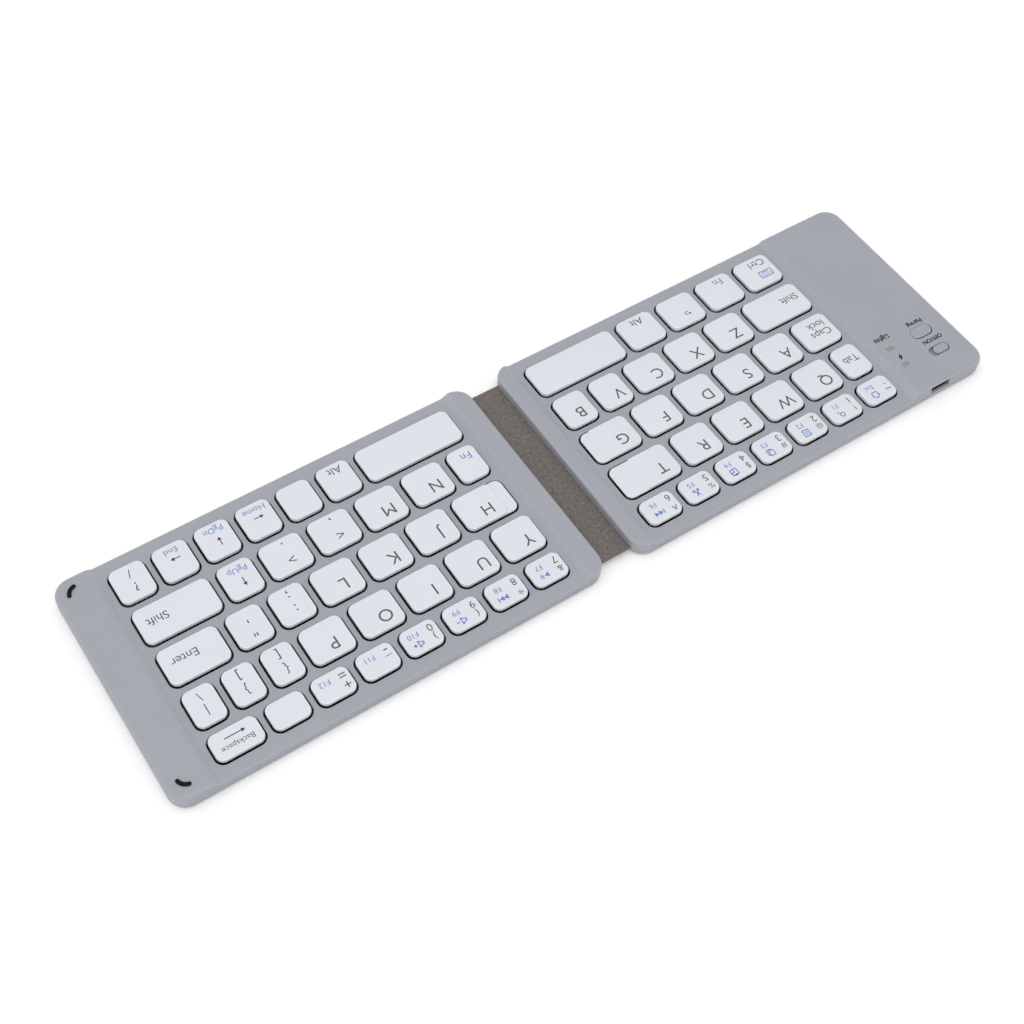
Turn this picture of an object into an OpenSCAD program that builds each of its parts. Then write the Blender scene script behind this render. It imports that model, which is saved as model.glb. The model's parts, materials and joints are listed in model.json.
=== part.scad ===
// Folding keyboard, lying open and flat. Millimetres.
// +X is the typist's right, +Y is the far side (number row), +Z is up.
// The origin is at the middle of the open keyboard, on the table.
// Each half is drawn outwards from its own hinge wall: u runs from that wall to the outer end.

/* [Case] */
// Length of one half, from its hinge wall to its outer end
half_len = 147.5; // [147:0.5:165]
// Depth of the case, front to back
case_depth = 84.4; // [84:0.2:100]
// Height of the end platforms and hinge ridges above the table
case_height = 6.4; // [6.2:0.1:7.6]
// Drop from the platforms to the deck around the keys
deck_drop = 1.6; // [1.3:0.1:1.8]
// Length of the slope between platform and deck
ramp_len = 2.8; // [1.5:0.1:3.2]
// Corner radius of the case in plan
corner_r = 6; // [4:0.5:8]
// Rounding of the platforms' top edges
platform_edge_r = 1.4; // [0.6:0.1:1.6]
// Rounding of the deck's top edges
deck_edge_r = 0.7; // [0.4:0.1:0.9]
// Rounding of the hinge walls' top edges
hinge_edge_r = 1; // [0.6:0.1:1.4]
// Rounding of the bottom edges
bottom_edge_r = 0.9; // [0.4:0.1:1.1]
// Thickness of the side walls
wall_t = 1.2; // [0.9:0.1:1.6]
// Thickness of the deck between the keys
deck_t = 1; // [0.8:0.1:1.2]
// Thickness of the platform roof
roof_t = 1.2; // [0.9:0.1:1.4]
// Thickness of the base shell's floor
floor_t = 0.6; // [0.5:0.1:0.8]

/* [Folding strip] */
// Height of the strip's top face, which is also the height of both fold lines
strip_top = 3; // [2.8:0.1:3.4]
// Thickness of the strip
strip_t = 0.9; // [0.7:0.1:1]
// Length of the strip, front to back
strip_len = 76.2; // [60:0.2:80]
// Strip that shows between a fold line and the case wall
strip_lip = 1.95; // [1:0.05:3]
// Depth to which the case walls clamp the strip
clamp_depth = 3; // [2:0.1:3.2]
// Gap left between the two platforms when the keyboard is folded
fold_gap = 0.5; // [0.5:0.1:1]
// Width of the ribbon cable inside the strip
ribbon_w = 12; // [6:0.5:20]
// Thickness of the ribbon cable
ribbon_t = 0.15; // [0.1:0.05:0.2]

/* [Keys] */
// Width of a letter key, as a share of its row (the keys of a row always fill it)
letter_w = 14.1; // [13:0.1:15]
// Depth of a letter key, as a share of the key field's depth (the rows always fill it)
letter_h = 13; // [12:0.1:14]
// Width of a number key
number_w = 12.1; // [11:0.1:13]
// Width of the 6 key
six_w = 12.4; // [11:0.1:14]
// Width of the backspace key
backspace_w = 15.4; // [14:0.1:17]
// Depth of a number key
number_h = 9.2; // [8.6:0.1:10]
// Width of a narrow side key
small_w = 11.4; // [10.5:0.1:12.5]
// Width of the tab key and of the right function key
tab_w = 10.1; // [9.5:0.1:11]
// Width of a bracket key
bracket_w = 9.9; // [9.5:0.1:11]
// Width of the backslash key
backslash_w = 9.8; // [9.4:0.1:11]
// Width of the left shift key
shift_w = 22.7; // [21:0.1:24.5]
// Width of the right shift key
right_shift_w = 25.1; // [23:0.1:27]
// Width of the enter key
enter_w = 19.6; // [18:0.1:21]
// Width of the B key
b_key_w = 11.5; // [10.5:0.1:12.5]
// Width of the G key, with its shelf
g_key_w = 17.4; // [16.2:0.1:18.5]
// Width of the T key, with its shelf
t_key_w = 21.4; // [19.5:0.1:23]
// Width of the H key, with its shelf
h_key_w = 18.3; // [17:0.1:19.5]
// Widths of the left and right part of the space bar
space_w = [34.4, 34.6];
// Space between neighbours in a row
key_gap = 2.9; // [2.6:0.1:3.2]
// Space between rows
row_gap = 3.2; // [2.8:0.1:3.5]
// Distance from the left hinge wall to the nearest key
left_inset = 9.4; // [8.9:0.1:12]
// Distance from the right hinge wall to the nearest key
right_inset = 10.6; // [9:0.1:12]
// Distance from the left keys to the outer end
left_end_w = 35.7; // [35:0.1:40]
// Distance from the right keys to the outer end
right_end_w = 16.5; // [15:0.1:20]
// Distance from the outer rows to the front and rear faces
row_margin = 5.2; // [4.8:0.1:7]
// Corner radius of a keycap
key_r = 2.4; // [1.5:0.1:3]
// Chamfer round a keycap's top
key_chamfer = 0.4; // [0.2:0.05:0.6]
// Height of a keycap, skirt included
cap_h = 2.3; // [2:0.1:2.4]
// Drop of the low shelf beside the letter on the T, G and H keys
shelf_drop = 0.5; // [0.3:0.05:0.6]
// Thickness of a keycap's top
cap_top_t = 0.9; // [0.7:0.1:1.1]
// Thickness of a keycap's skirt
skirt_t = 0.9; // [0.7:0.1:1]
// Gap between a keycap and its window in the deck
key_clear = 0.6; // [0.4:0.05:0.7]
// Height of the platforms above the key tops
key_recess = 0.2; // [0.1:0.05:0.4]
// Bare deck between the outer keys and the slopes
field_margin = 2; // [1.4:0.1:2.2]

/* [Under the keys] */
// Thickness of the steel support plate
plate_t = 0.4; // [0.3:0.05:0.5]
// Thickness of the switch membrane
membrane_t = 0.3; // [0.2:0.05:0.4]
// Radius of a rubber dome at its foot
dome_r = 2.1; // [1.6:0.1:2.2]
// Radius of a rubber dome at its top
dome_top_r = 1.2; // [0.8:0.1:1.5]
// Thickness of a scissor link
link_t = 0.6; // [0.4:0.05:0.7]
// Width of a scissor link's side bars
link_bar = 0.7; // [0.5:0.05:0.8]

/* [Controls and electronics] */
// Distance from the outer end to the middle of the power slot and the connect button
control_inset = 11.9; // [11.4:0.1:13]
// Distance from the rear face to the middle of the power slot
slider_inset = 11.9; // [11.5:0.1:12.3]
// Length of the power slider's knob
slider_len = 6; // [5:0.1:6.4]
// Width of the power slider's knob
slider_w = 3.6; // [2.5:0.1:4]
// Travel of the power slider
slider_travel = 2; // [1.5:0.1:2.2]
// Distance from the rear face to the middle of the connect button
connect_inset = 21.1; // [20.6:0.1:23]
// Length of the connect button
connect_len = 8.5; // [7:0.1:9]
// Width of the connect button
connect_w = 4.8; // [4:0.1:5.2]
// Height of the controls above the platform
control_proud = 0.1; // [0:0.05:0.3]
// Distance from the outer end to the middle of the status lamps
lamp_inset = 26.3; // [25.5:0.1:27]
// Distances from the rear face to the two status lamps
lamp_backs = [20.7, 12.7];
// Length and width of a status lamp
lamp_size = [2.8, 1.6];
// Distance from the outer end to the middle of the charging socket
usb_inset = 21.4; // [20.5:0.1:22.4]
// Width, depth and height of the charging socket
usb_size = [7.6, 5.8, 2.5];
// Depth of the socket's mouth behind the case's rear face
usb_set_back = 0.7; // [0.5:0.1:1.2]
// Thickness of the circuit board
board_t = 0.8; // [0.6:0.1:1]
// Width and length of the circuit board
board_size = [24, 32];
// Distance from the rear wall's inner face to the circuit board
board_set_back = 1.2; // [0.8:0.1:2]
// Distance from the outer end to the circuit board and the battery
bay_inset = 4.9; // [4.6:0.1:5.4]
// Width and thickness of the battery
battery_size = [24, 3];
// Distance from the front face to the battery
battery_inset = 8.2; // [7.9:0.1:12]
// Space between the battery and the circuit board
battery_gap = 3.8; // [1:0.1:8]
// Radius and thickness of a closing magnet
magnet_size = [2.5, 1.6];

/* [Feet, pads and screws] */
// Thickness of the rubber feet
foot_t = 0.4; // [0.3:0.1:0.6]
// Length and width of a rubber foot
foot_size = [60, 5];
// Distance from the front or rear face to a foot's middle
foot_inset = 6.4; // [5:0.1:9]
// Height of the corner pads above the platform
pad_t = 0.4; // [0.2:0.05:0.45]
// Width of a corner pad's stroke
pad_stroke = 1.3; // [0.8:0.1:1.8]
// Centreline radius of a corner pad
pad_r = 3.2; // [2.5:0.1:4]
// Distance of a corner pad's centre from both outer faces
pad_inset = 7.3; // [6.5:0.1:8]
// Shank radius of a case screw
screw_r = 0.6; // [0.5:0.05:0.7]
// Head radius of a case screw
screw_head_r = 1.2; // [1:0.05:1.4]
// Distance of the outer screws from the outer faces
screw_inset = 6; // [5.6:0.1:6.4]
// Distance of the inner screws from the hinge wall
inner_screw_u = 5; // [4.9:0.05:5.2]

/* [Hidden] */
// Side of the case, used as the sign of X
LEFT = -1;
RIGHT = 1;

// Clearances
slide_clear = 0.15;  // round a moving control
link_clear = 0.5;    // from the links to a keycap's skirt, enough for its rounded corners
seat_clear = 0.1;    // between stacked pieces that don't touch
fit_clear = 0.05;    // round a fixed piece in its seat
cut = 1;             // how far a cutting solid runs past a face

// Heights above the table
floor_z = foot_t + floor_t;
plate_top = floor_z + plate_t;
membrane_top = plate_top + membrane_t;
split_z = strip_top - strip_t;
deck_z = case_height - deck_drop;
deck_under = deck_z - deck_t;
roof_under = case_height - roof_t;
key_top = case_height - key_recess;
cap_bottom = key_top - cap_h;
cap_ceiling = key_top - cap_top_t;
usb_roof_t = 0.55;
usb_top = case_height - usb_roof_t - fit_clear;
board_top = usb_top - usb_size[2];
control_top = case_height + control_proud;

// Hinge
slat_w = 2 * (case_height - strip_top) + fold_gap;
wall_x = slat_w / 2 + strip_lip;

// Rows of keys, listed from the hinge outwards, front row first: node name and width
function same(name, width, count) = [for (i = [1:count]) [name, width]];
rows_left = [
    concat([["space_left", space_w[0]]], same("side_keys_left", letter_w, 4)),
    [["key_b", b_key_w], ["key_v", small_w], for (k = "cxz") [str("key_", k), letter_w],
        ["side_keys_left", shift_w]],
    [["key_g", g_key_w], for (k = "fdsa") [str("key_", k), letter_w], ["side_keys_left", letter_w]],
    [["key_t", t_key_w], for (k = "rewq") [str("key_", k), letter_w], ["side_keys_left", tab_w]],
    concat([["number_row_left", six_w]], same("number_row_left", number_w, 6)),
];
rows_right = [
    concat([["space_right", space_w[1]]], same("side_keys_right", small_w, 6)),
    concat([["side_keys_right", tab_w]], [for (k = "nm") [str("key_", k), letter_w]],
        same("side_keys_right", letter_w, 2), same("side_keys_right", small_w, 1),
        [["side_keys_right", right_shift_w]]),
    concat([["key_h", h_key_w]], [for (k = "jkl") [str("key_", k), letter_w]],
        same("side_keys_right", small_w, 2), [["side_keys_right", enter_w]]),
    concat([for (k = "yuiop") [str("key_", k), letter_w]],
        same("side_keys_right", bracket_w, 2), [["side_keys_right", backslash_w]]),
    concat(same("number_row_right", number_w, 7), [["number_row_right", backspace_w]]),
];

function rows(side) = side == LEFT ? rows_left : rows_right;
function inset(side) = side == LEFT ? left_inset : right_inset;
function field_w(side) = half_len - inset(side) - (side == LEFT ? left_end_w : right_end_w);
function sum(list, count) = count == 0 ? 0 : list[count - 1] + sum(list, count - 1);

// How much a row's keys stretch to fill the field
function row_fill(row, side) =
    (field_w(side) - key_gap * (len(row) - 1)) / sum([for (k = row) k[1]], len(row));

// Front to back: four letter rows and the number row
field_h = case_depth - 2 * row_margin;
depth_fill = (field_h - 4 * row_gap) / (4 * letter_h + number_h);
function row_h(r) = (r == 4 ? number_h : letter_h) * depth_fill;
function row_y(r) = -field_h / 2 + r * (letter_h * depth_fill + row_gap) + row_h(r) / 2;

// The T, G and H keys have a low shelf beside a top of letter size
function has_shelf(name) = name == "key_t" || name == "key_g" || name == "key_h";

// Every key of a half: node, [u, y] of its middle, width, depth, width of its shelf
function keys(side) = [
    for (r = [0:4]) let (row = rows(side)[r], fill = row_fill(row, side), w = [for (k = row) k[1] * fill])
        for (i = [0:len(row) - 1])
            [row[i][0], [inset(side) + sum(w, i) + key_gap * i + w[i] / 2, row_y(r)], w[i], row_h(r),
                has_shelf(row[i][0]) ? w[i] - letter_w * fill : 0]
];

// Where the key pocket starts and ends along a half
function pocket_start(side) = inset(side) - field_margin;
function pocket_end(side) = inset(side) + field_w(side) + field_margin;

// Points along an arc, a rounded rectangle and a soft slope
function arc(c, r, from, to, steps = 6) =
    [for (i = [0:steps]) let (a = from + (to - from) * i / steps) c + r * [cos(a), sin(a)]];
function rounded(lo, hi, r, steps = 6) = concat(
    arc([hi[0] - r, hi[1] - r], r, 0, 90, steps), arc([lo[0] + r, hi[1] - r], r, 90, 180, steps),
    arc([lo[0] + r, lo[1] + r], r, 180, 270, steps), arc([hi[0] - r, lo[1] + r], r, 270, 360, steps));
function centred(w, h, r, steps = 6) = rounded([-w / 2, -h / 2], [w / 2, h / 2], r, steps);
function slope(from, to, steps = 8) =
    [for (i = [0:steps]) let (t = i / steps)
        [from[0] + (to[0] - from[0]) * t, from[1] + (to[1] - from[1]) * (1 - cos(180 * t)) / 2]];

// Places of the controls, as u and y
control_u = half_len - control_inset;
slider_y = case_depth / 2 - slider_inset;
connect_y = case_depth / 2 - connect_inset;
lamp_u = half_len - lamp_inset;
lamp_ys = [for (back = lamp_backs) case_depth / 2 - back];
usb_u = half_len - usb_inset;

// Screw places of a half: [u, y]
screw_places = [for (u = [inner_screw_u, half_len - screw_inset]) for (s = [-1, 1])
    [u, s * (case_depth / 2 - screw_inset)]];
screw_head_t = 0.4;
screw_tip = deck_under - 0.4;
boss_r = screw_r + 1;
boss_clear = 0.4;
cross_slot = [1.4, 0.24, 0.25];

LETTERS = "qwertyuiopasdfghjklzxcvbnm";
KEY_NODES = concat([for (k = LETTERS) str("key_", k)], ["space_left", "space_right",
    "number_row_left", "number_row_right", "side_keys_left", "side_keys_right"]);
$fn = 32;

// Puts what is drawn in u and y on its half
module on_half(side) {
    if (side == LEFT) mirror([1, 0, 0]) translate([wall_x, 0, 0]) children();
    else translate([wall_x, 0, 0]) children();
}

// A block between two heights over an outline of points
module prism(points, z0, z1) {
    translate([0, 0, z0]) linear_extrude(z1 - z0) polygon(points);
}

// A block between two corners
module block(lo, hi) {
    translate(lo) cube(hi - lo);
}

// A profile drawn in u and z, run from front to back
module along_y(points) {
    translate([0, case_depth / 2 + cut, 0]) rotate([90, 0, 0])
        linear_extrude(case_depth + 2 * cut) polygon(points);
}

// A profile drawn in y and z, run from one u to another
module along_u(points, from, to) {
    translate([from, 0, 0]) rotate([90, 0, 90]) linear_extrude(to - from) polygon(points);
}

// The front to back section of a shell: flat below, rounded above
function capped(height, r) = concat([[case_depth / 2, split_z]],
    arc([case_depth / 2 - r, height - r], r, 0, 90), arc([r - case_depth / 2, height - r], r, 90, 180),
    [[-case_depth / 2, split_z]]);

case_outline = rounded([0, -case_depth / 2], [half_len, case_depth / 2], corner_r, 10);
function inner_outline(clear) = rounded([clamp_depth + clear, wall_t + clear - case_depth / 2],
    [half_len - wall_t - clear, case_depth / 2 - wall_t - clear], corner_r - wall_t - clear, 8);

// The long section of a top shell: ridge, slope, deck, slope, platform
function long_section(side) = concat([[0, split_z]],
    arc([hinge_edge_r, case_height - hinge_edge_r], hinge_edge_r, 180, 90),
    slope([pocket_start(side) - ramp_len, case_height], [pocket_start(side), deck_z]),
    slope([pocket_end(side), deck_z], [pocket_end(side) + ramp_len, case_height]),
    arc([half_len - platform_edge_r, case_height - platform_edge_r], platform_edge_r, 90, 0),
    [[half_len, split_z]]);

// Outer form of a top shell
module top_form(side) {
    intersection() {
        prism(case_outline, split_z, case_height);
        along_y(long_section(side));
        union() {
            along_u(capped(case_height, platform_edge_r), -cut, pocket_start(side));
            along_u(capped(deck_z, deck_edge_r), pocket_start(side), pocket_end(side));
            along_u(capped(case_height, platform_edge_r), pocket_end(side), half_len + cut);
        }
    }
}

// Room under the deck and under the outer platform
module top_room(side) {
    prism(inner_outline(0), split_z - cut, deck_under);
    intersection() {
        prism(inner_outline(0), split_z - cut, roof_under);
        block([pocket_end(side) + ramp_len + fit_clear, -case_depth, 0], [half_len, case_depth, roof_under]);
    }
}

// Slot that takes the end of the folding strip
module strip_slot() {
    block([-cut, -strip_len / 2 - fit_clear, split_z - cut],
        [clamp_depth + fit_clear, strip_len / 2 + fit_clear, strip_top]);
}

// Window for each key
module key_windows(side) {
    for (k = keys(side)) translate([k[1][0], k[1][1], 0])
        prism(centred(k[2] + 2 * key_clear, k[3] + 2 * key_clear, key_r + key_clear),
            deck_under - cut, case_height + cut);
}

// An oval outline, longer in u
function oval(length, width) = centred(length, width, width / 2 - 0.01, 8);

// Openings of the left platform: power slot, connect button, status lamps and charging socket
module control_openings() {
    translate([control_u, slider_y, 0])
        prism(oval(slider_len + slider_travel + 2 * slide_clear, slider_w + 2 * slide_clear),
            roof_under - cut, case_height + cut);
    translate([control_u, connect_y, 0])
        prism(oval(connect_len + 2 * slide_clear, connect_w + 2 * slide_clear),
            roof_under - cut, case_height + cut);
    for (y = lamp_ys) translate([lamp_u, y, 0])
        prism(oval(lamp_size[0] + 2 * fit_clear, lamp_size[1] + 2 * fit_clear),
            roof_under - cut, case_height + cut);
    usb_pocket();
}

// Pocket round the charging socket, open at the rear face
module usb_pocket() {
    half_w = usb_size[0] / 2 + 4 * fit_clear;
    block([usb_u - half_w, case_depth / 2 - usb_set_back - usb_size[1] - fit_clear, board_top - fit_clear],
        [usb_u + half_w, case_depth / 2 + cut, usb_top + fit_clear]);
}

// Circuit board's lower left corner, and the posts under the roof that it hangs from
bay_u = half_len - bay_inset - board_size[0];
board_y = case_depth / 2 - wall_t - board_set_back - board_size[1];
post_r = 1.1;
post_places = [[bay_u + 3, board_y + 2.4], [bay_u + board_size[0] - 3, board_y + 2.4],
    [(usb_u + usb_size[0] / 2 + half_len - screw_inset - boss_r) / 2, board_y + board_size[1] - 1.5]];

module top_shell(side) {
    color("silver") on_half(side) difference() {
        union() {
            difference() {
                top_form(side);
                top_room(side);
            }
            for (p = screw_places) translate([p[0], p[1], floor_z])
                cylinder(r = boss_r, h = deck_under - floor_z + fit_clear);
            if (side == LEFT) for (p = post_places) translate([p[0], p[1], board_top])
                cylinder(r = post_r, h = roof_under - board_top + fit_clear);
            translate([half_len - screw_inset, 0, 0]) for (s = [-1, 1])
                translate([0, s * (case_depth / 2 - screw_inset), deck_under])
                    cylinder(r = boss_r, h = roof_under - deck_under + fit_clear);
        }
        key_windows(side);
        strip_slot();
        if (side == LEFT) control_openings();
        for (p = screw_places) translate([p[0], p[1], floor_z - cut])
            cylinder(r = screw_r + fit_clear, h = screw_tip + seat_clear - floor_z + cut);
    }
}

// The front to back and long sections of a base shell: rounded below, flat above
function keeled(length) = concat([[length, split_z]],
    arc([length - bottom_edge_r, foot_t + bottom_edge_r], bottom_edge_r, 0, -90),
    arc([bottom_edge_r, foot_t + bottom_edge_r], bottom_edge_r, 270, 180), [[0, split_z]]);

module base_shell(side) {
    color("darkgray") on_half(side) difference() {
        intersection() {
            prism(case_outline, foot_t, split_z);
            along_y(keeled(half_len));
            along_u([for (p = keeled(case_depth)) [p[0] - case_depth / 2, p[1]]], -cut, half_len + cut);
        }
        prism(inner_outline(0), floor_z, split_z + cut);
        for (p = screw_places) translate([p[0], p[1], 0]) {
            cylinder(r = screw_r + fit_clear, h = split_z);
            cylinder(r = screw_head_r + fit_clear, h = foot_t + screw_head_t);
        }
    }
}

// Countersunk case screw standing head down
module case_screw() {
    difference() {
        union() {
            translate([0, 0, foot_t]) cylinder(r = screw_head_r, h = screw_head_t);
            translate([0, 0, foot_t + screw_head_t])
                cylinder(r = screw_r, h = screw_tip - foot_t - screw_head_t);
        }
        for (a = [0, 90]) rotate(a) translate([-cross_slot[0] / 2, -cross_slot[1] / 2, foot_t - cut])
            cube([cross_slot[0], cross_slot[1], cross_slot[2] + cut]);
    }
}

module screws(side) {
    color("dimgray") on_half(side) for (p = screw_places) translate([p[0], p[1], 0]) case_screw();
}

module feet(side) {
    color("black") on_half(side) for (s = [-1, 1])
        translate([half_len / 2, s * (case_depth / 2 - foot_inset), 0])
            prism(oval(foot_size[0], foot_size[1]), 0, foot_t);
}

// Outline of a strip piece from one x to another, with the ribbon's tunnel
module strip_piece(from, to) {
    difference() {
        block([from, -strip_len / 2, split_z], [to, strip_len / 2, strip_top]);
        block([from - cut, -ribbon_w / 2 - fit_clear, ribbon_z - fit_clear],
            [to + cut, ribbon_w / 2 + fit_clear, ribbon_z + ribbon_t + fit_clear]);
    }
}
ribbon_z = strip_top - strip_t / 2 - ribbon_t / 2;

module strip_end(side) {
    color("rosybrown") on_half(side) strip_piece(-strip_lip, clamp_depth);
}

module strip_middle() {
    color("rosybrown") strip_piece(-slat_w / 2, slat_w / 2);
}

module ribbon_cable() {
    color("orange")
        block([-slat_w / 2, -ribbon_w / 2, ribbon_z], [slat_w / 2, ribbon_w / 2, ribbon_z + ribbon_t]);
}

// Steel plate under the keys. On the left it runs on under the battery and the board
module key_plate(side) {
    far = side == LEFT ? half_len : pocket_end(side);
    color("lightsteelblue") on_half(side) difference() {
        intersection() {
            prism(inner_outline(slide_clear), floor_z, plate_top);
            block([pocket_start(side), -field_h / 2 - plate_rim, 0],
                [far, field_h / 2 + plate_rim, plate_top]);
        }
        boss_holes();
    }
}

plate_rim = 1;

// Room round the screw bosses
module boss_holes() {
    for (p = screw_places) translate([p[0], p[1], 0]) cylinder(r = boss_r + boss_clear, h = case_height);
}

// Switch membrane with its tail, which rises into the folding strip
module membrane(side) {
    tail_t = 0.3;
    start = pocket_start(side);
    color("palegreen") on_half(side) {
        block([start, -field_h / 2, plate_top], [pocket_end(side), field_h / 2, membrane_top]);
        block([start, -ribbon_w / 2, membrane_top], [start + tail_t, ribbon_w / 2, ribbon_z]);
        block([-strip_lip, -ribbon_w / 2, ribbon_z], [start + tail_t, ribbon_w / 2, ribbon_z + ribbon_t]);
    }
}

// Widths and length of the crossed links under a key, and the room that they leave for its dome
function link_w(w) = min(w - 2 * skirt_t - 2 * link_clear, link_max_w);
function link_len(h) = h - 2 * skirt_t - 2 * link_clear;
link_nest = 2 * (link_bar + slide_clear);
link_max_w = 10.4;
function dome_room(w, h) = min(link_w(w) - link_nest, link_len(h)) / 2 - link_bar - slide_clear;

// One rubber dome, hollow from below
module dome(r) {
    skin = 0.35;
    top_r = min(dome_top_r, r - skin);
    h = cap_ceiling - membrane_top - seat_clear;
    translate([0, 0, membrane_top]) rotate_extrude() polygon([
        [r - skin, 0], [r, 0], [top_r, 0.75 * h], [top_r, h], [0, h],
        [0, 0.75 * h], [top_r - skin, 0.7 * h]]);
}

module domes(side) {
    color("white") on_half(side) for (k = keys(side)) translate(k[1])
        dome(min(dome_r, dome_room(k[2], k[3])));
}

// A flat frame of bars round an opening
module frame(width, length) {
    difference() {
        cube([width, length, link_t], center = true);
        cube([width - 2 * link_bar, length - 2 * link_bar, link_t + cut], center = true);
    }
}

// The crossed pair of links under one key
module scissor(w, h) {
    width = link_w(w);
    length = link_len(h);
    rise = cap_ceiling - membrane_top - link_t - 2 * seat_clear;
    tilt = asin(rise / length);
    translate([0, 0, (cap_ceiling + membrane_top) / 2]) {
        rotate([tilt, 0, 0]) frame(width, length);
        rotate([-tilt, 0, 0]) frame(width - link_nest, length);
    }
}

module scissor_links(side) {
    color("whitesmoke") on_half(side) for (k = keys(side)) translate(k[1]) scissor(k[2], k[3]);
}

// A chamfered section of a keycap, across its width or its depth
function cap_section(size) = [[-size / 2, cap_bottom], [size / 2, cap_bottom],
    [size / 2, key_top - key_chamfer], [size / 2 - key_chamfer, key_top],
    [key_chamfer - size / 2, key_top], [-size / 2, key_top - key_chamfer]];

// A keycap, its shelf on the hinge side
module keycap(w, h, shelf) {
    difference() {
        intersection() {
            prism(centred(w, h, key_r), cap_bottom, key_top);
            along_y(cap_section(w));
            along_u(cap_section(h), -w, w);
        }
        prism(centred(w - 2 * skirt_t, h - 2 * skirt_t, key_r - skirt_t, 3), cap_bottom - cut, cap_ceiling);
        if (shelf > 0) block([-w, -h, key_top - shelf_drop], [shelf - w / 2, h, key_top + cut]);
    }
}

// The keycaps that share one node name
module key_node(name) {
    color("white") for (side = [LEFT, RIGHT]) on_half(side)
        for (k = keys(side)) if (k[0] == name) translate(k[1])
            keycap(k[2], k[3], k[4]);
}

module battery() {
    outer = half_len - bay_inset;
    color("gray") on_half(LEFT)
        prism(rounded([outer - battery_size[0], battery_inset - case_depth / 2],
            [outer, board_y - battery_gap], 1.5, 4), plate_top, plate_top + battery_size[1]);
}

// A chip of the given size, soldered on the board
module on_board(u, y, size) {
    translate([u - size[0] / 2, y - size[1] / 2, board_top]) cube(size);
}

// Circuit board with its chip, lamps, button switch and slide switch
module main_board() {
    color("green") on_half(LEFT) {
        difference() {
            block([bay_u, board_y, board_top - board_t],
                [bay_u + board_size[0], board_y + board_size[1], board_top]);
            boss_holes();
        }
        on_board(bay_u + 8, board_y + 8, [6, 6, 0.9]);
        for (y = lamp_ys) on_board(lamp_u, y, [1.6, 0.8, lamp_foot - seat_clear - board_top]);
        on_board(control_u, connect_y, [4, 4, tact_top - plunger_h - board_top]);
        translate([control_u, connect_y, tact_top - plunger_h]) cylinder(r = 0.9, h = plunger_h);
        on_board(control_u, slider_y, [8, 3.6, control_foot - seat_clear - board_top]);
    }
}
lamp_foot = board_top + 0.7;
flange_t = 0.5;
flange_lip = 0.7;
control_foot = roof_under - seat_clear - flange_t;
connect_travel = 0.3;
plunger_h = 0.3;
tact_top = control_foot - connect_travel - fit_clear;

// Charging socket: a bent steel shell with a contact tongue, its mouth at the rear
module usb_socket() {
    w = usb_size[0];
    h = usb_size[2];
    bevel = 0.9;
    skin = 0.35;
    tongue = [3.8, 0.5];
    tongue_set_back = 1;
    function mouth(grow) = [[-w / 2 - grow, h + grow], [-w / 2 - grow, bevel], [bevel - w / 2 - grow, -grow],
        [w / 2 - bevel + grow, -grow], [w / 2 + grow, bevel], [w / 2 + grow, h + grow]];
    color("gainsboro") on_half(LEFT)
        translate([usb_u, case_depth / 2 - usb_set_back, board_top]) rotate([90, 0, 0]) {
        difference() {
            linear_extrude(usb_size[1]) polygon(mouth(0));
            translate([0, 0, -cut]) linear_extrude(usb_size[1] - skin + cut) polygon(mouth(-skin));
        }
        translate([-tongue[0] / 2, h / 2 - tongue[1] / 2, tongue_set_back])
            cube([tongue[0], tongue[1], usb_size[1] - tongue_set_back]);
    }
}

// Power knob in its slot, at the off end
module power_slider() {
    color("silver") on_half(LEFT) translate([control_u + slider_travel / 2, slider_y, 0]) {
        prism(oval(slider_len, slider_w), control_foot, control_top);
        prism(centred(slider_len + 2 * slider_travel + flange_lip, slider_w + 2 * flange_lip, 0.5, 2),
            control_foot, control_foot + flange_t);
    }
}

module connect_button() {
    color("silver") on_half(LEFT) translate([control_u, connect_y, 0]) {
        prism(oval(connect_len, connect_w), control_foot, control_top);
        prism(centred(connect_len + 2 * flange_lip, connect_w + 2 * flange_lip, 0.5, 2),
            control_foot, control_foot + flange_t);
    }
}

module status_lamps() {
    color("lightgray") on_half(LEFT) for (y = lamp_ys) translate([lamp_u, y, 0])
        prism(oval(lamp_size[0], lamp_size[1]), lamp_foot, case_height);
}

// Magnets under the right platform
module magnets() {
    u = (pocket_end(RIGHT) + ramp_len + half_len - wall_t) / 2;
    color("slategray") on_half(RIGHT) for (s = [-1, 1])
        translate([u, s * case_depth / 4, roof_under - magnet_size[1]])
            cylinder(r = magnet_size[0], h = magnet_size[1]);
}

// Curved rubber pads on the right platform's two corners
module corner_pads() {
    ends = [12, 78];
    color("black") on_half(RIGHT) for (s = [-1, 1]) mirror([0, s < 0 ? 1 : 0, 0])
        translate([half_len - pad_inset, case_depth / 2 - pad_inset, case_height]) {
            rotate(ends[0]) rotate_extrude(angle = ends[1] - ends[0])
                translate([pad_r - pad_stroke / 2, 0]) square([pad_stroke, pad_t]);
            for (a = ends) rotate(a) translate([pad_r, 0, 0]) cylinder(r = pad_stroke / 2, h = pad_t);
        }
}

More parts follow.
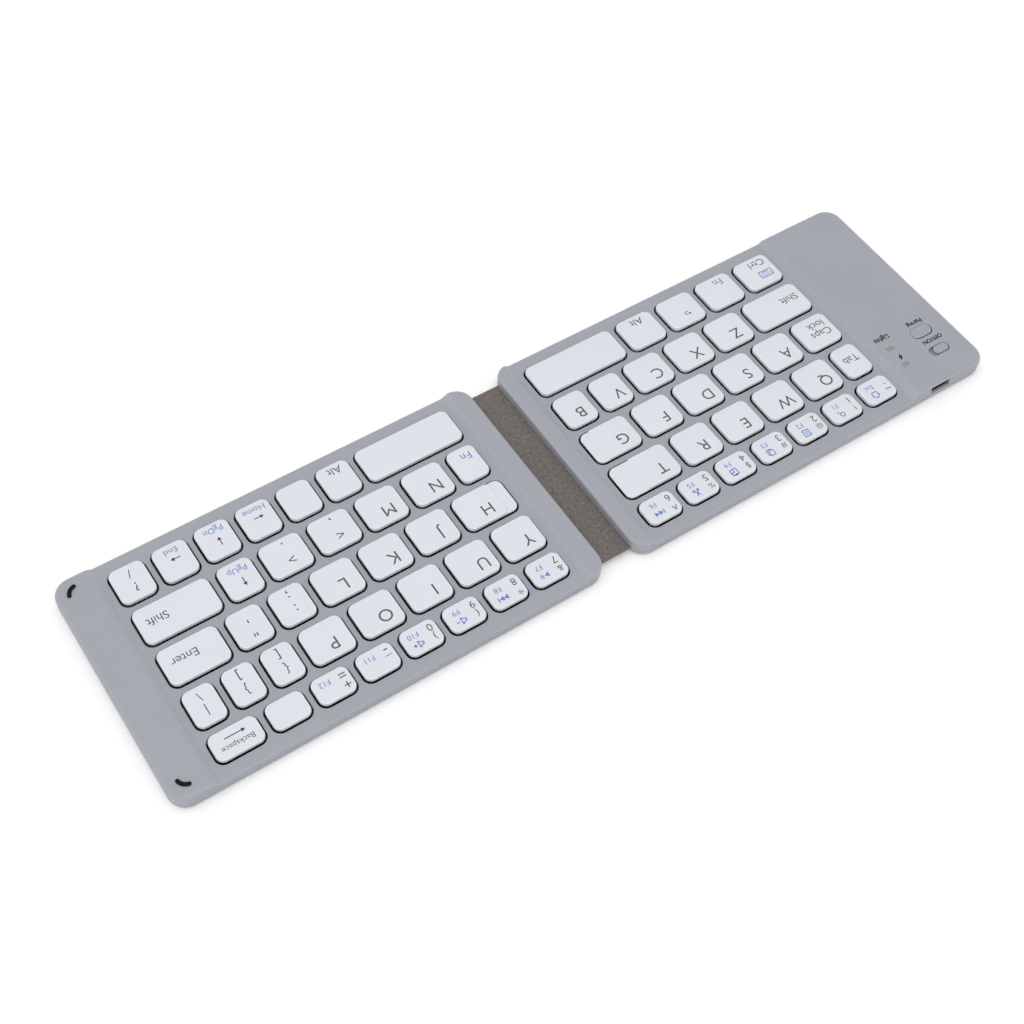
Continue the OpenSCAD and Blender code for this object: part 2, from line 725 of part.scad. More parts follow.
base_shell(LEFT);  // base_shell_left
base_shell(RIGHT);  // base_shell_right
top_shell(LEFT);  // top_shell_left
top_shell(RIGHT);  // top_shell_right
strip_end(LEFT);  // strip_end_left
strip_middle();
strip_end(RIGHT);  // strip_end_right
ribbon_cable();
key_plate(LEFT);  // key_plate_left
key_plate(RIGHT);  // key_plate_right
membrane(LEFT);  // membrane_left
membrane(RIGHT);  // membrane_right
domes(LEFT);  // domes_left
domes(RIGHT);  // domes_right
scissor_links(LEFT);  // scissor_links_left
scissor_links(RIGHT);  // scissor_links_right
battery();
main_board();
usb_socket();
power_slider();
connect_button();
status_lamps();
magnets();
corner_pads();
feet(LEFT);  // feet_left
feet(RIGHT);  // feet_right
screws(LEFT);  // screws_left
screws(RIGHT);  // screws_right
for (name = KEY_NODES) {
    key_node(name);
}
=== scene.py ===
"""Looks of an open folding keyboard: two grey halves, a fabric strip between them and white keys.

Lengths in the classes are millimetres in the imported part's frame: +X to the typist's right, +Y towards
the number row, +Z up, with the table at zero. A half is built outwards from its own hinge wall, where u
runs from that wall to the outer end, and is then set on its side of the strip.
"""

from __future__ import annotations

import json
import logging
import math
from contextlib import contextmanager
from dataclasses import dataclass, field
from enum import Enum
from typing import Callable, Iterator, Sequence

import bmesh
import bpy
from mathutils import Matrix, Vector

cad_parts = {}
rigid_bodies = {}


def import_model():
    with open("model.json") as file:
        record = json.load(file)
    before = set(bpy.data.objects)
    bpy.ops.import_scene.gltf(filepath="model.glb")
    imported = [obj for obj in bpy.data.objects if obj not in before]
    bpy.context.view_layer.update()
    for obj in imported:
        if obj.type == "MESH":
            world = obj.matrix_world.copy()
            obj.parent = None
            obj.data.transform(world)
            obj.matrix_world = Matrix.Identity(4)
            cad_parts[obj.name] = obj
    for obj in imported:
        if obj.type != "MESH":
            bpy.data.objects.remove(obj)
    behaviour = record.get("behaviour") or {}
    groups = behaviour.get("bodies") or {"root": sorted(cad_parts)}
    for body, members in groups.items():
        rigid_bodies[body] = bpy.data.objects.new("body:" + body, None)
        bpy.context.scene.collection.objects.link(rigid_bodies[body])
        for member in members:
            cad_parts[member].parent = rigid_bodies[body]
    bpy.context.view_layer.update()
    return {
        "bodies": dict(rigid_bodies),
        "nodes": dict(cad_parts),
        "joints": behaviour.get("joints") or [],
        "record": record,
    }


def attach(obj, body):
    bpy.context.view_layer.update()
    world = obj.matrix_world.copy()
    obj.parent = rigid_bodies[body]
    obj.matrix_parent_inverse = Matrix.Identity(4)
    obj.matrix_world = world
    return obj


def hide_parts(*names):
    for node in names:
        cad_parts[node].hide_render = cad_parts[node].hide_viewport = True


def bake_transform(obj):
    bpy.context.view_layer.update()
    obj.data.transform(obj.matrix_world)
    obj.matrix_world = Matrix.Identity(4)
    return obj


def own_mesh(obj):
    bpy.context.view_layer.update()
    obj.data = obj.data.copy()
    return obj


MM = 0.001
LOG = logging.getLogger("keyboard")

Point = tuple[float, float, float]
Place = tuple[float, float]
Colour = tuple[float, float, float]
Piece = bpy.types.Object


class Side(Enum):
    """The typist's left and right half, with the sign of X on each."""

    LEFT = -1
    RIGHT = 1

    @property
    def word(self) -> str:
        """The side's name as the part's nodes spell it."""
        return self.name.lower()

    @property
    def body(self) -> str:
        """The body that the half's fixed pieces ride on."""
        return f"{self.word}_half"


class Ink(Enum):
    """The two colours that the keycaps are printed in."""

    GREY = "ink_grey"
    BLUE = "ink_blue"


class Align(Enum):
    """How a printed word sits on its place."""

    CENTER = "CENTER"
    LEFT = "LEFT"
    RIGHT = "RIGHT"


# Tools that every piece is made with.


def settle() -> None:
    """Leaves edit mode and deselects everything."""
    if bpy.context.object and bpy.context.object.mode != "OBJECT":
        bpy.ops.object.mode_set(mode="OBJECT")
    bpy.ops.object.select_all(action="DESELECT")


def hold(piece: Piece) -> None:
    """Makes a piece the only selected and the active one."""
    settle()
    piece.select_set(True)
    bpy.context.view_layer.objects.active = piece


@contextmanager
def editing(piece: Piece, kind: str = "EDGE") -> Iterator[None]:
    """Opens a piece in edit mode with nothing selected, and closes it again.

    Args:
        piece: The piece to edit.
        kind: What is picked in it: VERT, EDGE or FACE.
    """
    hold(piece)
    bpy.ops.object.mode_set(mode="EDIT")
    bpy.ops.mesh.select_mode(type=kind)
    bpy.ops.mesh.select_all(action="DESELECT")
    try:
        yield
    finally:
        bpy.ops.object.mode_set(mode="OBJECT")


def pick_edges(piece: Piece, wanted: Callable[[Vector, Vector], bool]) -> None:
    """Selects the edges of a piece in edit mode whose two ends, in millimetres, are wanted."""
    mesh = bmesh.from_edit_mesh(piece.data)
    for edge in mesh.edges:
        if wanted(edge.verts[0].co / MM, edge.verts[1].co / MM):
            edge.select_set(True)
    bmesh.update_edit_mesh(piece.data)


def pick_faces(piece: Piece, wanted: Callable[[Vector, Vector], bool]) -> None:
    """Selects the faces of a piece in edit mode whose middle, in millimetres, and normal are wanted."""
    mesh = bmesh.from_edit_mesh(piece.data)
    for face in mesh.faces:
        if wanted(face.calc_center_median() / MM, face.normal):
            face.select_set(True)
    bmesh.update_edit_mesh(piece.data)


def soften(piece: Piece, wanted: Callable[[Vector, Vector], bool], width: float, steps: int) -> None:
    """Rounds the wanted edges of a piece.

    Args:
        piece: The piece to round.
        wanted: Says from its two ends whether an edge is rounded.
        width: The radius in millimetres.
        steps: How many strips the rounding has.
    """
    with editing(piece):
        pick_edges(piece, wanted)
        bpy.ops.mesh.bevel(offset=width * MM, offset_type="OFFSET", segments=steps, affect="EDGES")


def level(z: float) -> Callable[[Vector, Vector], bool]:
    """A test for edges that lie flat at one height."""
    return lambda a, b: abs(a.z - z) < 0.01 and abs(b.z - z) < 0.01


def facing(y: float) -> Callable[[Vector, Vector], bool]:
    """A test for edges that lie in an upright plane across the keyboard, at one y."""
    return lambda a, b: abs(a.y - y) < 0.01 and abs(b.y - y) < 0.01


def upright(a: Vector, b: Vector) -> bool:
    """A test for edges that stand straight up."""
    return math.hypot(a.x - b.x, a.y - b.y) < 0.001 and abs(a.z - b.z) > 0.01


def slice_across(piece: Piece, cuts: Sequence[float], axis: int = 0) -> None:
    """Cuts new edges round a piece.

    Args:
        piece: The piece to cut.
        cuts: Where the cuts lie along the axis, in millimetres.
        axis: 0 for cuts along X, 1 for cuts along Y.
    """
    normal = Vector([float(i == axis) for i in range(3)])
    with editing(piece, "VERT"):
        for cut in cuts:
            bpy.ops.mesh.select_all(action="SELECT")
            bpy.ops.mesh.bisect(plane_co=normal * (cut * MM), plane_no=normal)


def block(name: str, low: Point, high: Point) -> Piece:
    """Adds a box between two corners.

    Args:
        name: The piece's name.
        low: Its lowest corner in millimetres.
        high: Its highest corner in millimetres.

    Returns:
        The new piece, with its place in its mesh.
    """
    settle()
    middle = [(a + b) / 2 * MM for a, b in zip(low, high)]
    bpy.ops.mesh.primitive_cube_add(size=1.0, location=middle)
    piece = bpy.context.object
    piece.name = piece.data.name = name
    piece.scale = [(b - a) * MM for a, b in zip(low, high)]
    bpy.ops.object.transform_apply(location=True, rotation=True, scale=True)
    return piece


def tablet(name: str, low: Point, high: Point, corner: float, steps: int = 6) -> Piece:
    """Adds a box whose four upright edges are rounded.

    Args:
        name: The piece's name.
        low: Its lowest corner in millimetres.
        high: Its highest corner in millimetres.
        corner: The radius of its upright edges in millimetres.
        steps: How many strips each rounding has.

    Returns:
        The new piece.
    """
    piece = block(name, low, high)
    soften(piece, upright, corner, steps)
    return piece


def drum(name: str, middle: Place, radius: float, low: float, high: float, sides: int = 32) -> Piece:
    """Adds an upright cylinder.

    Args:
        name: The piece's name.
        middle: Its axis as x and y in millimetres.
        radius: Its radius in millimetres.
        low: The height of its foot.
        high: The height of its top.
        sides: How many faces go round it.

    Returns:
        The new piece, with its place in its mesh.
    """
    settle()
    bpy.ops.mesh.primitive_cylinder_add(
        vertices=sides,
        radius=radius * MM,
        depth=(high - low) * MM,
        location=(middle[0] * MM, middle[1] * MM, (low + high) / 2 * MM),
    )
    piece = bpy.context.object
    piece.name = piece.data.name = name
    bpy.ops.object.transform_apply(location=True, rotation=True, scale=True)
    return piece


def cut_out(piece: Piece, other: Piece) -> None:
    """Cuts another piece out of a piece, and drops the other one.

    Args:
        piece: The piece that stays.
        other: The piece that is used up.
    """
    step = piece.modifiers.new("cut", "BOOLEAN")
    step.operation = "DIFFERENCE"
    step.solver = "EXACT"
    step.object = other
    hold(piece)
    bpy.ops.object.modifier_apply(modifier=step.name)
    bpy.data.objects.remove(other)


def joined(name: str, pieces: Sequence[Piece]) -> Piece:
    """Joins several pieces into one mesh and returns it under a new name."""
    settle()
    for piece in pieces:
        piece.select_set(True)
    bpy.context.view_layer.objects.active = pieces[0]
    if len(pieces) > 1:
        bpy.ops.object.join()
    pieces[0].name = pieces[0].data.name = name
    return pieces[0]


def copied(piece: Piece, name: str, shift: Point = (0.0, 0.0, 0.0)) -> Piece:
    """Copies a piece with a mesh of its own and moves the copy.

    Args:
        piece: The piece to copy.
        name: The copy's name.
        shift: How far it is moved, in millimetres.

    Returns:
        The copy.
    """
    twin = piece.copy()
    twin.data = piece.data.copy()
    twin.name = twin.data.name = name
    bpy.context.scene.collection.objects.link(twin)
    twin.data.transform(Matrix.Translation(Vector(shift) * MM))
    return twin


def mirrored(piece: Piece, axis: int) -> None:
    """Mirrors a piece's mesh along an axis, 0 for X or 1 for Y, with its faces still pointing outwards."""
    piece.data.transform(Matrix.Diagonal([-1.0 if i == axis else 1.0 for i in range(4)]))
    with editing(piece, "FACE"):
        bpy.ops.mesh.select_all(action="SELECT")
        bpy.ops.mesh.flip_normals()


def set_on_side(piece: Piece, side: Side, wall: float) -> None:
    """Moves a piece from u and y to its half, mirrored on the left one.

    Args:
        piece: The piece, built with u along X.
        side: The half that it belongs to.
        wall: The distance from the middle of the strip to the hinge wall, in millimetres.
    """
    piece.data.transform(Matrix.Translation((wall * MM, 0.0, 0.0)))
    if side is Side.LEFT:
        mirrored(piece, 0)


def mark_edges(piece: Piece, where: Callable[[Vector], bool] | None) -> None:
    """Stores 1 in the piece's "edge" attribute on rounded edges and 0 on its flats, for the painted edge
    highlight.

    Args:
        piece: The piece to mark.
        where: Says which places in millimetres take the painted highlight, or None for all.
    """
    layer = piece.data.attributes.get("edge") or piece.data.attributes.new("edge", "FLOAT", "POINT")
    mesh = bmesh.new()
    mesh.from_mesh(piece.data)
    mesh.normal_update()
    values = []
    for vertex in mesh.verts:
        normals = [face.normal for face in vertex.link_faces]
        slanted = all(max(abs(n.x), abs(n.y), abs(n.z)) < 0.985 for n in normals)
        # Only places that may take the painted edge highlight are marked.
        takes_highlight = where is None or where(vertex.co / MM)
        values.append(1.0 if normals and slanted and takes_highlight else 0.0)
    mesh.free()
    layer.data.foreach_set("value", values)


def polish(piece: Piece, angle: float = 40.0, where: Callable[[Vector], bool] | None = None) -> None:
    """Smooths a piece's shading, keeps its flats flat and marks its rounded edges for the painted highlight.

    Args:
        piece: The piece to finish.
        angle: The angle in degrees up to which neighbouring faces are shaded as one.
        where: Says which places in millimetres take the painted highlight, or None for all.
    """
    hold(piece)
    bpy.ops.object.shade_smooth_by_angle(angle=math.radians(angle))
    step = piece.modifiers.new("flats", "WEIGHTED_NORMAL")
    step.keep_sharp = True
    bpy.ops.object.modifier_apply(modifier=step.name)
    mark_edges(piece, where)


# Finishes, from shared node groups up to one material for each.


class Wiring:
    """Adds and links the nodes of one material or node group."""

    def __init__(self, tree: bpy.types.NodeTree) -> None:
        """Keeps the tree that the nodes go into."""
        self.tree = tree

    def add(self, kind: str, links: dict[str, object] | None = None, **settings: object) -> bpy.types.Node:
        """Adds a node.

        Args:
            kind: The node's type name.
            links: For each input by name or number, a socket to link or a plain value.
            settings: Properties of the node itself.

        Returns:
            The new node.
        """
        node = self.tree.nodes.new(kind)
        for key, value in settings.items():
            setattr(node, key, value)
        for key, value in (links or {}).items():
            socket = node.inputs[int(key)] if key.isdigit() else node.inputs[key]
            if isinstance(value, bpy.types.NodeSocket):
                self.tree.links.new(value, socket)
            else:
                socket.default_value = value
        return node

    def multiply(self, first: bpy.types.NodeSocket, second: object) -> bpy.types.NodeSocket:
        """Multiplies a value by another value or a plain number."""
        return self.add("ShaderNodeMath", {"0": first, "1": second}, operation="MULTIPLY").outputs[0]


def new_group(
    name: str, inputs: dict[str, float | None], outputs: Sequence[str]
) -> tuple[Wiring, bpy.types.Node, bpy.types.Node]:
    """Starts a shader node group.

    Args:
        name: The group's name.
        inputs: Each input's name with its value, or None for a vector.
        outputs: The names of its value outputs.

    Returns:
        The wiring of the group, its input node and its output node.
    """
    tree = bpy.data.node_groups.new(name, "ShaderNodeTree")
    for key, value in inputs.items():
        kind = "NodeSocketVector" if value is None else "NodeSocketFloat"
        socket = tree.interface.new_socket(name=key, in_out="INPUT", socket_type=kind)
        if value is not None:
            socket.default_value = value
    for key in outputs:
        tree.interface.new_socket(name=key, in_out="OUTPUT", socket_type="NodeSocketFloat")
    wiring = Wiring(tree)
    return wiring, wiring.add("NodeGroupInput"), wiring.add("NodeGroupOutput")


def grain_group() -> bpy.types.NodeTree:
    """Builds the moulded grain: a fine pebbled height and a slow drift of tone.

    Returns:
        The group, with outputs Height and Drift.
    """
    name = "moulded_grain"
    if name in bpy.data.node_groups:
        return bpy.data.node_groups[name]
    inputs = {"Vector": None, "Pebble": 4000.0, "Drift size": 60.0}
    wiring, start, out = new_group(name, inputs, ("Height", "Drift"))
    pebble = wiring.add(
        "ShaderNodeTexVoronoi",
        {"Vector": start.outputs["Vector"], "Scale": start.outputs["Pebble"]},
        feature="SMOOTH_F1",
    )
    fine = wiring.add(
        "ShaderNodeTexNoise",
        {"Vector": start.outputs["Vector"], "Scale": start.outputs["Pebble"], "Detail": 3.0},
    )
    height = wiring.add(
        "ShaderNodeMath", {"0": pebble.outputs["Distance"], "1": fine.outputs[0]}, operation="ADD"
    )
    drift = wiring.add(
        "ShaderNodeTexNoise",
        {
            "Vector": start.outputs["Vector"],
            "Scale": start.outputs["Drift size"],
            "Detail": 4.0,
            "Roughness": 0.6,
        },
    )
    wiring.tree.links.new(height.outputs[0], out.inputs["Height"])
    wiring.tree.links.new(drift.outputs[0], out.inputs["Drift"])
    return wiring.tree


def wear_group() -> bpy.types.NodeTree:
    """Builds the painted edge highlight: the marked rounded edges, broken up by noise.

    Returns:
        The group, with output Wear.
    """
    name = "edge_wear"
    if name in bpy.data.node_groups:
        return bpy.data.node_groups[name]
    wiring, start, out = new_group(name, {"Vector": None, "Breakup": 900.0, "Amount": 0.6}, ("Wear",))
    edge = wiring.add("ShaderNodeAttribute", attribute_name="edge")
    noise = wiring.add(
        "ShaderNodeTexNoise",
        {
            "Vector": start.outputs["Vector"],
            "Scale": start.outputs["Breakup"],
            "Detail": 5.0,
            "Roughness": 0.7,
        },
    )
    spread = wiring.add(
        "ShaderNodeMapRange", {"Value": noise.outputs[0], "From Min": 0.3, "From Max": 0.7, "To Min": 0.4}
    )
    # Painted highlight: how much lighter each marked rounded edge is painted.
    worn = wiring.multiply(edge.outputs["Fac"], spread.outputs[0])
    wiring.tree.links.new(wiring.multiply(worn, start.outputs["Amount"]), out.inputs["Wear"])
    return wiring.tree


def weave_group() -> bpy.types.NodeTree:
    """Builds the cloth: warp and weft threads with uneven, fuzzy fibres.

    Returns:
        The group, with outputs Height and Shade.
    """
    name = "fine_weave"
    if name in bpy.data.node_groups:
        return bpy.data.node_groups[name]
    inputs = {"Vector": None, "Threads": 2400.0, "Fuzz": 5200.0}
    wiring, start, out = new_group(name, inputs, ("Height", "Shade"))
    bend = wiring.add(
        "ShaderNodeTexNoise", {"Vector": start.outputs["Vector"], "Scale": 700.0, "Detail": 2.0}
    )
    shift = wiring.add(
        "ShaderNodeVectorMath", {"0": bend.outputs["Color"], "Scale": 0.0004}, operation="SCALE"
    )
    moved = wiring.add(
        "ShaderNodeVectorMath", {"0": start.outputs["Vector"], "1": shift.outputs[0]}, operation="ADD"
    )
    threads = []
    for direction in ("X", "Y"):
        wave = wiring.add(
            "ShaderNodeTexWave",
            {"Vector": moved.outputs[0], "Scale": start.outputs["Threads"], "Distortion": 0.6},
            bands_direction=direction,
        )
        threads.append(wave.outputs["Fac"])
    crossed = wiring.multiply(*threads)
    fuzz = wiring.add(
        "ShaderNodeTexNoise",
        {"Vector": start.outputs["Vector"], "Scale": start.outputs["Fuzz"], "Detail": 4.0, "Roughness": 0.7},
    )
    height = wiring.add("ShaderNodeMath", {"0": crossed, "1": fuzz.outputs[0]}, operation="ADD")
    fleck = wiring.add(
        "ShaderNodeTexNoise",
        {"Vector": start.outputs["Vector"], "Scale": 950.0, "Detail": 4.0, "Roughness": 0.7},
    )
    shade = wiring.multiply(fleck.outputs[0], fuzz.outputs[0])
    wiring.tree.links.new(height.outputs[0], out.inputs["Height"])
    wiring.tree.links.new(shade, out.inputs["Shade"])
    return wiring.tree


@dataclass(frozen=True)
class Finish:
    """What every finish shares: a name, a colour, a second colour that it drifts to, and its gloss."""

    name: str
    colour: Colour
    drift: Colour
    rough: float = 0.45
    metal: float = 0.0
    pebble: float = 4000.0
    drift_size: float = 60.0
    relief: float = 0.004
    # A lighter colour painted on the rounded edges as a highlight, or None for none.
    worn: Colour | None = None
    # How strongly the painted edge highlight shows.
    wear: float = 0.5
    shine: float = 0.5

    @property
    def title(self) -> str:
        """The material's name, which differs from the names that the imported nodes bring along."""
        return f"dressed_{self.name}"

    def start(self) -> tuple[bpy.types.Material, Wiring, bpy.types.Node, bpy.types.NodeSocket]:
        """Opens an empty material.

        Returns:
            The material, its wiring, its main shader and the Object coordinates.
        """
        material = bpy.data.materials.new(self.title)
        material.use_nodes = True
        wiring = Wiring(material.node_tree)
        shader = material.node_tree.nodes["Principled BSDF"]
        shader.inputs["Roughness"].default_value = self.rough
        shader.inputs["Metallic"].default_value = self.metal
        shader.inputs["Specular IOR Level"].default_value = self.shine
        place = wiring.add("ShaderNodeTexCoord")
        return material, wiring, shader, place.outputs["Object"]

    def tint(self, wiring: Wiring, share: bpy.types.NodeSocket) -> bpy.types.NodeSocket:
        """Mixes the finish's two colours by a share that varies over the surface."""
        tone = wiring.add(
            "ShaderNodeMix",
            {"Factor": share, "6": (*self.colour, 1.0), "7": (*self.drift, 1.0)},
            data_type="RGBA",
        )
        return tone.outputs[2]

    def relieve(self, wiring: Wiring, shader: bpy.types.Node, height: bpy.types.NodeSocket) -> None:
        """Bumps the shader by a height in units of the finish's relief, in millimetres."""
        bump = wiring.add("ShaderNodeBump", {"Height": height, "Distance": self.relief * MM, "Strength": 1.0})
        wiring.tree.links.new(bump.outputs[0], shader.inputs["Normal"])

    def build(self) -> bpy.types.Material:
        """Builds the grained finish.

        Returns:
            The material.
        """
        material, wiring, shader, place = self.start()
        grain = wiring.add("ShaderNodeGroup", node_tree=grain_group())
        wiring.tree.links.new(place, grain.inputs["Vector"])
        grain.inputs["Pebble"].default_value = self.pebble
        grain.inputs["Drift size"].default_value = self.drift_size
        colour = self.tint(wiring, grain.outputs["Drift"])
        # Painted highlight: the rounded edges are mixed towards the lighter edge colour.
        if self.worn:
            wear = wiring.add("ShaderNodeGroup", node_tree=wear_group())
            wiring.tree.links.new(place, wear.inputs["Vector"])
            wear.inputs["Amount"].default_value = self.wear
            lightened = wiring.add(
                "ShaderNodeMix",
                {"Factor": wear.outputs["Wear"], "6": colour, "7": (*self.worn, 1.0)},
                data_type="RGBA",
            )
            colour = lightened.outputs[2]
        wiring.tree.links.new(colour, shader.inputs["Base Color"])
        gloss = wiring.add(
            "ShaderNodeMapRange",
            {
                "Value": grain.outputs["Drift"],
                "From Min": 0.3,
                "From Max": 0.7,
                "To Min": self.rough - 0.05,
                "To Max": self.rough + 0.05,
            },
        )
        wiring.tree.links.new(gloss.outputs[0], shader.inputs["Roughness"])
        self.relieve(wiring, shader, grain.outputs["Height"])
        return material


@dataclass(frozen=True)
class Cloth(Finish):
    """The fabric of the folding strip."""

    threads: float = 2400.0

    def build(self) -> bpy.types.Material:
        """Builds the woven finish.

        Returns:
            The material.
        """
        material, wiring, shader, place = self.start()
        weave = wiring.add("ShaderNodeGroup", node_tree=weave_group())
        wiring.tree.links.new(place, weave.inputs["Vector"])
        weave.inputs["Threads"].default_value = self.threads
        spread = wiring.add(
            "ShaderNodeMapRange", {"Value": weave.outputs["Shade"], "From Min": 0.14, "From Max": 0.38}
        )
        wiring.tree.links.new(self.tint(wiring, spread.outputs[0]), shader.inputs["Base Color"])
        shader.inputs["Sheen Weight"].default_value = 0.25
        shader.inputs["Sheen Roughness"].default_value = 0.6
        self.relieve(wiring, shader, weave.outputs["Height"])
        return material


@dataclass(frozen=True)
class Tracks(Finish):
    """A film or board with printed conductor tracks in the drift colour."""

    track: float = 300.0

    def build(self) -> bpy.types.Material:
        """Builds the tracked finish.

        Returns:
            The material.
        """
        material, wiring, shader, place = self.start()
        cells = wiring.add(
            "ShaderNodeTexBrick",
            {
                "Vector": place,
                "Scale": self.track,
                "Mortar Size": 0.06,
                "Color1": (0.0, 0.0, 0.0, 1.0),
                "Color2": (0.0, 0.0, 0.0, 1.0),
                "Mortar": (1.0, 1.0, 1.0, 1.0),
            },
        )
        wiring.tree.links.new(self.tint(wiring, cells.outputs["Fac"]), shader.inputs["Base Color"])
        self.relieve(wiring, shader, cells.outputs["Fac"])
        return material


# The case's edge colour is a painted highlight, lighter than the grey, on its rounded edges.
CASE = Finish(
    "case_grey", (0.337, 0.349, 0.392), (0.364, 0.376, 0.417), rough=0.45, worn=(0.46, 0.47, 0.50),
)
# The keycap's edge colour is a painted highlight, lighter than the white, on its rounded rims.
CAP = Finish(
    "keycap_white", (0.70, 0.725, 0.785), (0.735, 0.755, 0.805), rough=0.36, relief=0.0025,
    worn=(0.86, 0.87, 0.90), wear=0.7,
)
PRINT_GREY = Finish(
    "ink_grey", (0.09, 0.093, 0.10), (0.12, 0.123, 0.13), rough=0.55, relief=0.002, shine=0.3,
)
PRINT_BLUE = Finish(
    "ink_blue", (0.13, 0.215, 0.54), (0.16, 0.25, 0.60), rough=0.55, relief=0.002, shine=0.3,
)
PRINT_DARK = Finish(
    "ink_dark", (0.008, 0.008, 0.009), (0.015, 0.015, 0.016), rough=0.6, relief=0.002, shine=0.2,
)
STRIP = Cloth(
    "strip_fabric", (0.094, 0.081, 0.074), (0.258, 0.224, 0.206), rough=0.9, relief=0.05, shine=0.2,
)
# The rubber's edge colour is a painted highlight, lighter than the black, on its rounded edges.
RUBBER = Finish(
    "black_rubber", (0.004, 0.004, 0.0045), (0.009, 0.009, 0.0095), rough=0.7, relief=0.01,
    worn=(0.03, 0.03, 0.03), wear=0.3, shine=0.15,
)
SOCKET = Finish("socket_steel", (0.13, 0.13, 0.13), (0.18, 0.18, 0.18), rough=0.45, metal=1.0, relief=0.002)
CONTACT = Finish("contact_gold", (0.75, 0.52, 0.16), (0.85, 0.62, 0.22), rough=0.25, metal=1.0, relief=0.001)
TONGUE = Finish("tongue_black", (0.015, 0.015, 0.016), (0.03, 0.03, 0.03), rough=0.4, relief=0.002)
SCREW = Finish(
    "screw_steel", (0.42, 0.42, 0.43), (0.52, 0.52, 0.53), rough=0.35, metal=1.0, relief=0.002,
    drift_size=400.0,
)
PLATE = Finish("plate_black", (0.006, 0.006, 0.007), (0.012, 0.012, 0.013), rough=0.5, relief=0.003)
# Painted shade: the membrane is coloured near black so that the deep key gaps look dark.
SHADE_FILM = Tracks(
    "membrane_film", (0.005, 0.005, 0.006), (0.02, 0.02, 0.022), rough=0.4, relief=0.01, track=160.0,
)
RIBBON = Tracks(
    "ribbon_film", (0.42, 0.22, 0.05), (0.6, 0.4, 0.15), rough=0.35, relief=0.01, track=700.0,
)
DOME = Finish("dome_silicone", (0.5, 0.5, 0.48), (0.58, 0.58, 0.56), rough=0.45, relief=0.003)
LINK = Finish("link_plastic", (0.55, 0.55, 0.55), (0.62, 0.62, 0.62), rough=0.5, relief=0.003)
FOIL = Finish(
    "battery_foil", (0.55, 0.55, 0.57), (0.7, 0.7, 0.72), rough=0.38, metal=0.9, relief=0.02,
    drift_size=300.0,
)
BOARD = Tracks(
    "circuit_board", (0.01, 0.08, 0.035), (0.03, 0.17, 0.07), rough=0.4, relief=0.02, track=500.0,
)
MAGNET = Finish("magnet_nickel", (0.5, 0.49, 0.47), (0.6, 0.59, 0.57), rough=0.25, metal=1.0, relief=0.002)
FLOOR = Finish("floor_white", (0.90, 0.90, 0.90), (0.92, 0.92, 0.92), rough=0.9, relief=0.0, shine=0.0)
# The lens's edge colour is a painted highlight, lighter than the lens, which leaves its middle darker.
LENS = Finish(
    "lamp_lens", (0.25, 0.26, 0.285), (0.30, 0.31, 0.33), rough=0.3, relief=0.002,
    worn=(0.42, 0.43, 0.45),
)


def dress(piece: Piece, *finishes: Finish) -> None:
    """Gives a piece its finishes in the order of its material slots, each built at its first use."""
    piece.data.materials.clear()
    for finish in finishes:
        piece.data.materials.append(bpy.data.materials.get(finish.title) or finish.build())


def hand_over(piece: Piece, body: str, slot: str, *nodes: str) -> Piece:
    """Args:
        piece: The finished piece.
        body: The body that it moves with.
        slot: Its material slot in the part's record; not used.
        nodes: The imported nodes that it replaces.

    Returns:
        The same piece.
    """
    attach(piece, body)
    if nodes:
        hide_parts(*nodes)
    return piece


# What each key is and where it sits.


L, R = Side.LEFT, Side.RIGHT
SIDE_L, SIDE_R = "side_keys_left", "side_keys_right"
WORD = 2.75


@dataclass(frozen=True)
class Mark:
    """One printed word, sign or icon, placed from the middle of its key in millimetres."""

    what: str
    x: float
    y: float
    height: float = 3.6
    ink: Ink = Ink.GREY
    align: Align = Align.CENTER


@dataclass(frozen=True)
class Cap:
    """One key of a row: the node that it belongs to, its width and what is printed on it."""

    node: str
    width: float
    marks: tuple[Mark, ...] = ()


def letter(name: str, x: float, width: float = 14.1) -> Cap:
    """A letter key, its letter a little left of the middle and high up."""
    return Cap(f"key_{name}", width, (Mark(name.upper(), x, 2.2, 4.1),))


SIGN_HEIGHTS = {
    "@": 1.7, "%": 2.0, "&": 2.1, "$": 2.1, "#": 2.2, "!": 2.2, "(": 2.4, ")": 2.4,
    "^": 2.9, "*": 3.0, "+": 3.2, "=": 3.2, "-": 3.4, "_": 3.0, "~": 2.8, "`": 2.8,
    ":": 3.5, ";": 3.5, ",": 3.5, ".": 3.5, "'": 3.5, '"': 3.5, "<": 3.3, ">": 3.3, "?": 3.2,
}


def sized(sign: str, usual: float) -> float:
    """The height that a sign is printed at, so that wide and small signs look alike."""
    return SIGN_HEIGHTS.get(sign, usual)


def pair(node: str, width: float, above: str, below: str, x: float = 0.0) -> Cap:
    """A punctuation key with one sign above another."""
    upper = Mark(above, x, 2.3, sized(above, 3.0))
    return Cap(node, width, (upper, Mark(below, x, -2.9, sized(below, 3.0))))


def word(node: str, width: float, text: str, x: float, y: float, ink: Ink = Ink.GREY) -> Cap:
    """A key with one word, its left end at x."""
    return Cap(node, width, (Mark(text, x, y, WORD, ink, Align.LEFT),))


def arrow_key(icon: str, x: float, y: float, name: str, name_x: float, name_y: float) -> Cap:
    """An arrow key of the right half, with the blue name of its second function."""
    return Cap(SIDE_R, 11.4, (Mark(f"icon:{icon}", x, y, 2.0), Mark(name, name_x, name_y, 2.1, Ink.BLUE)))


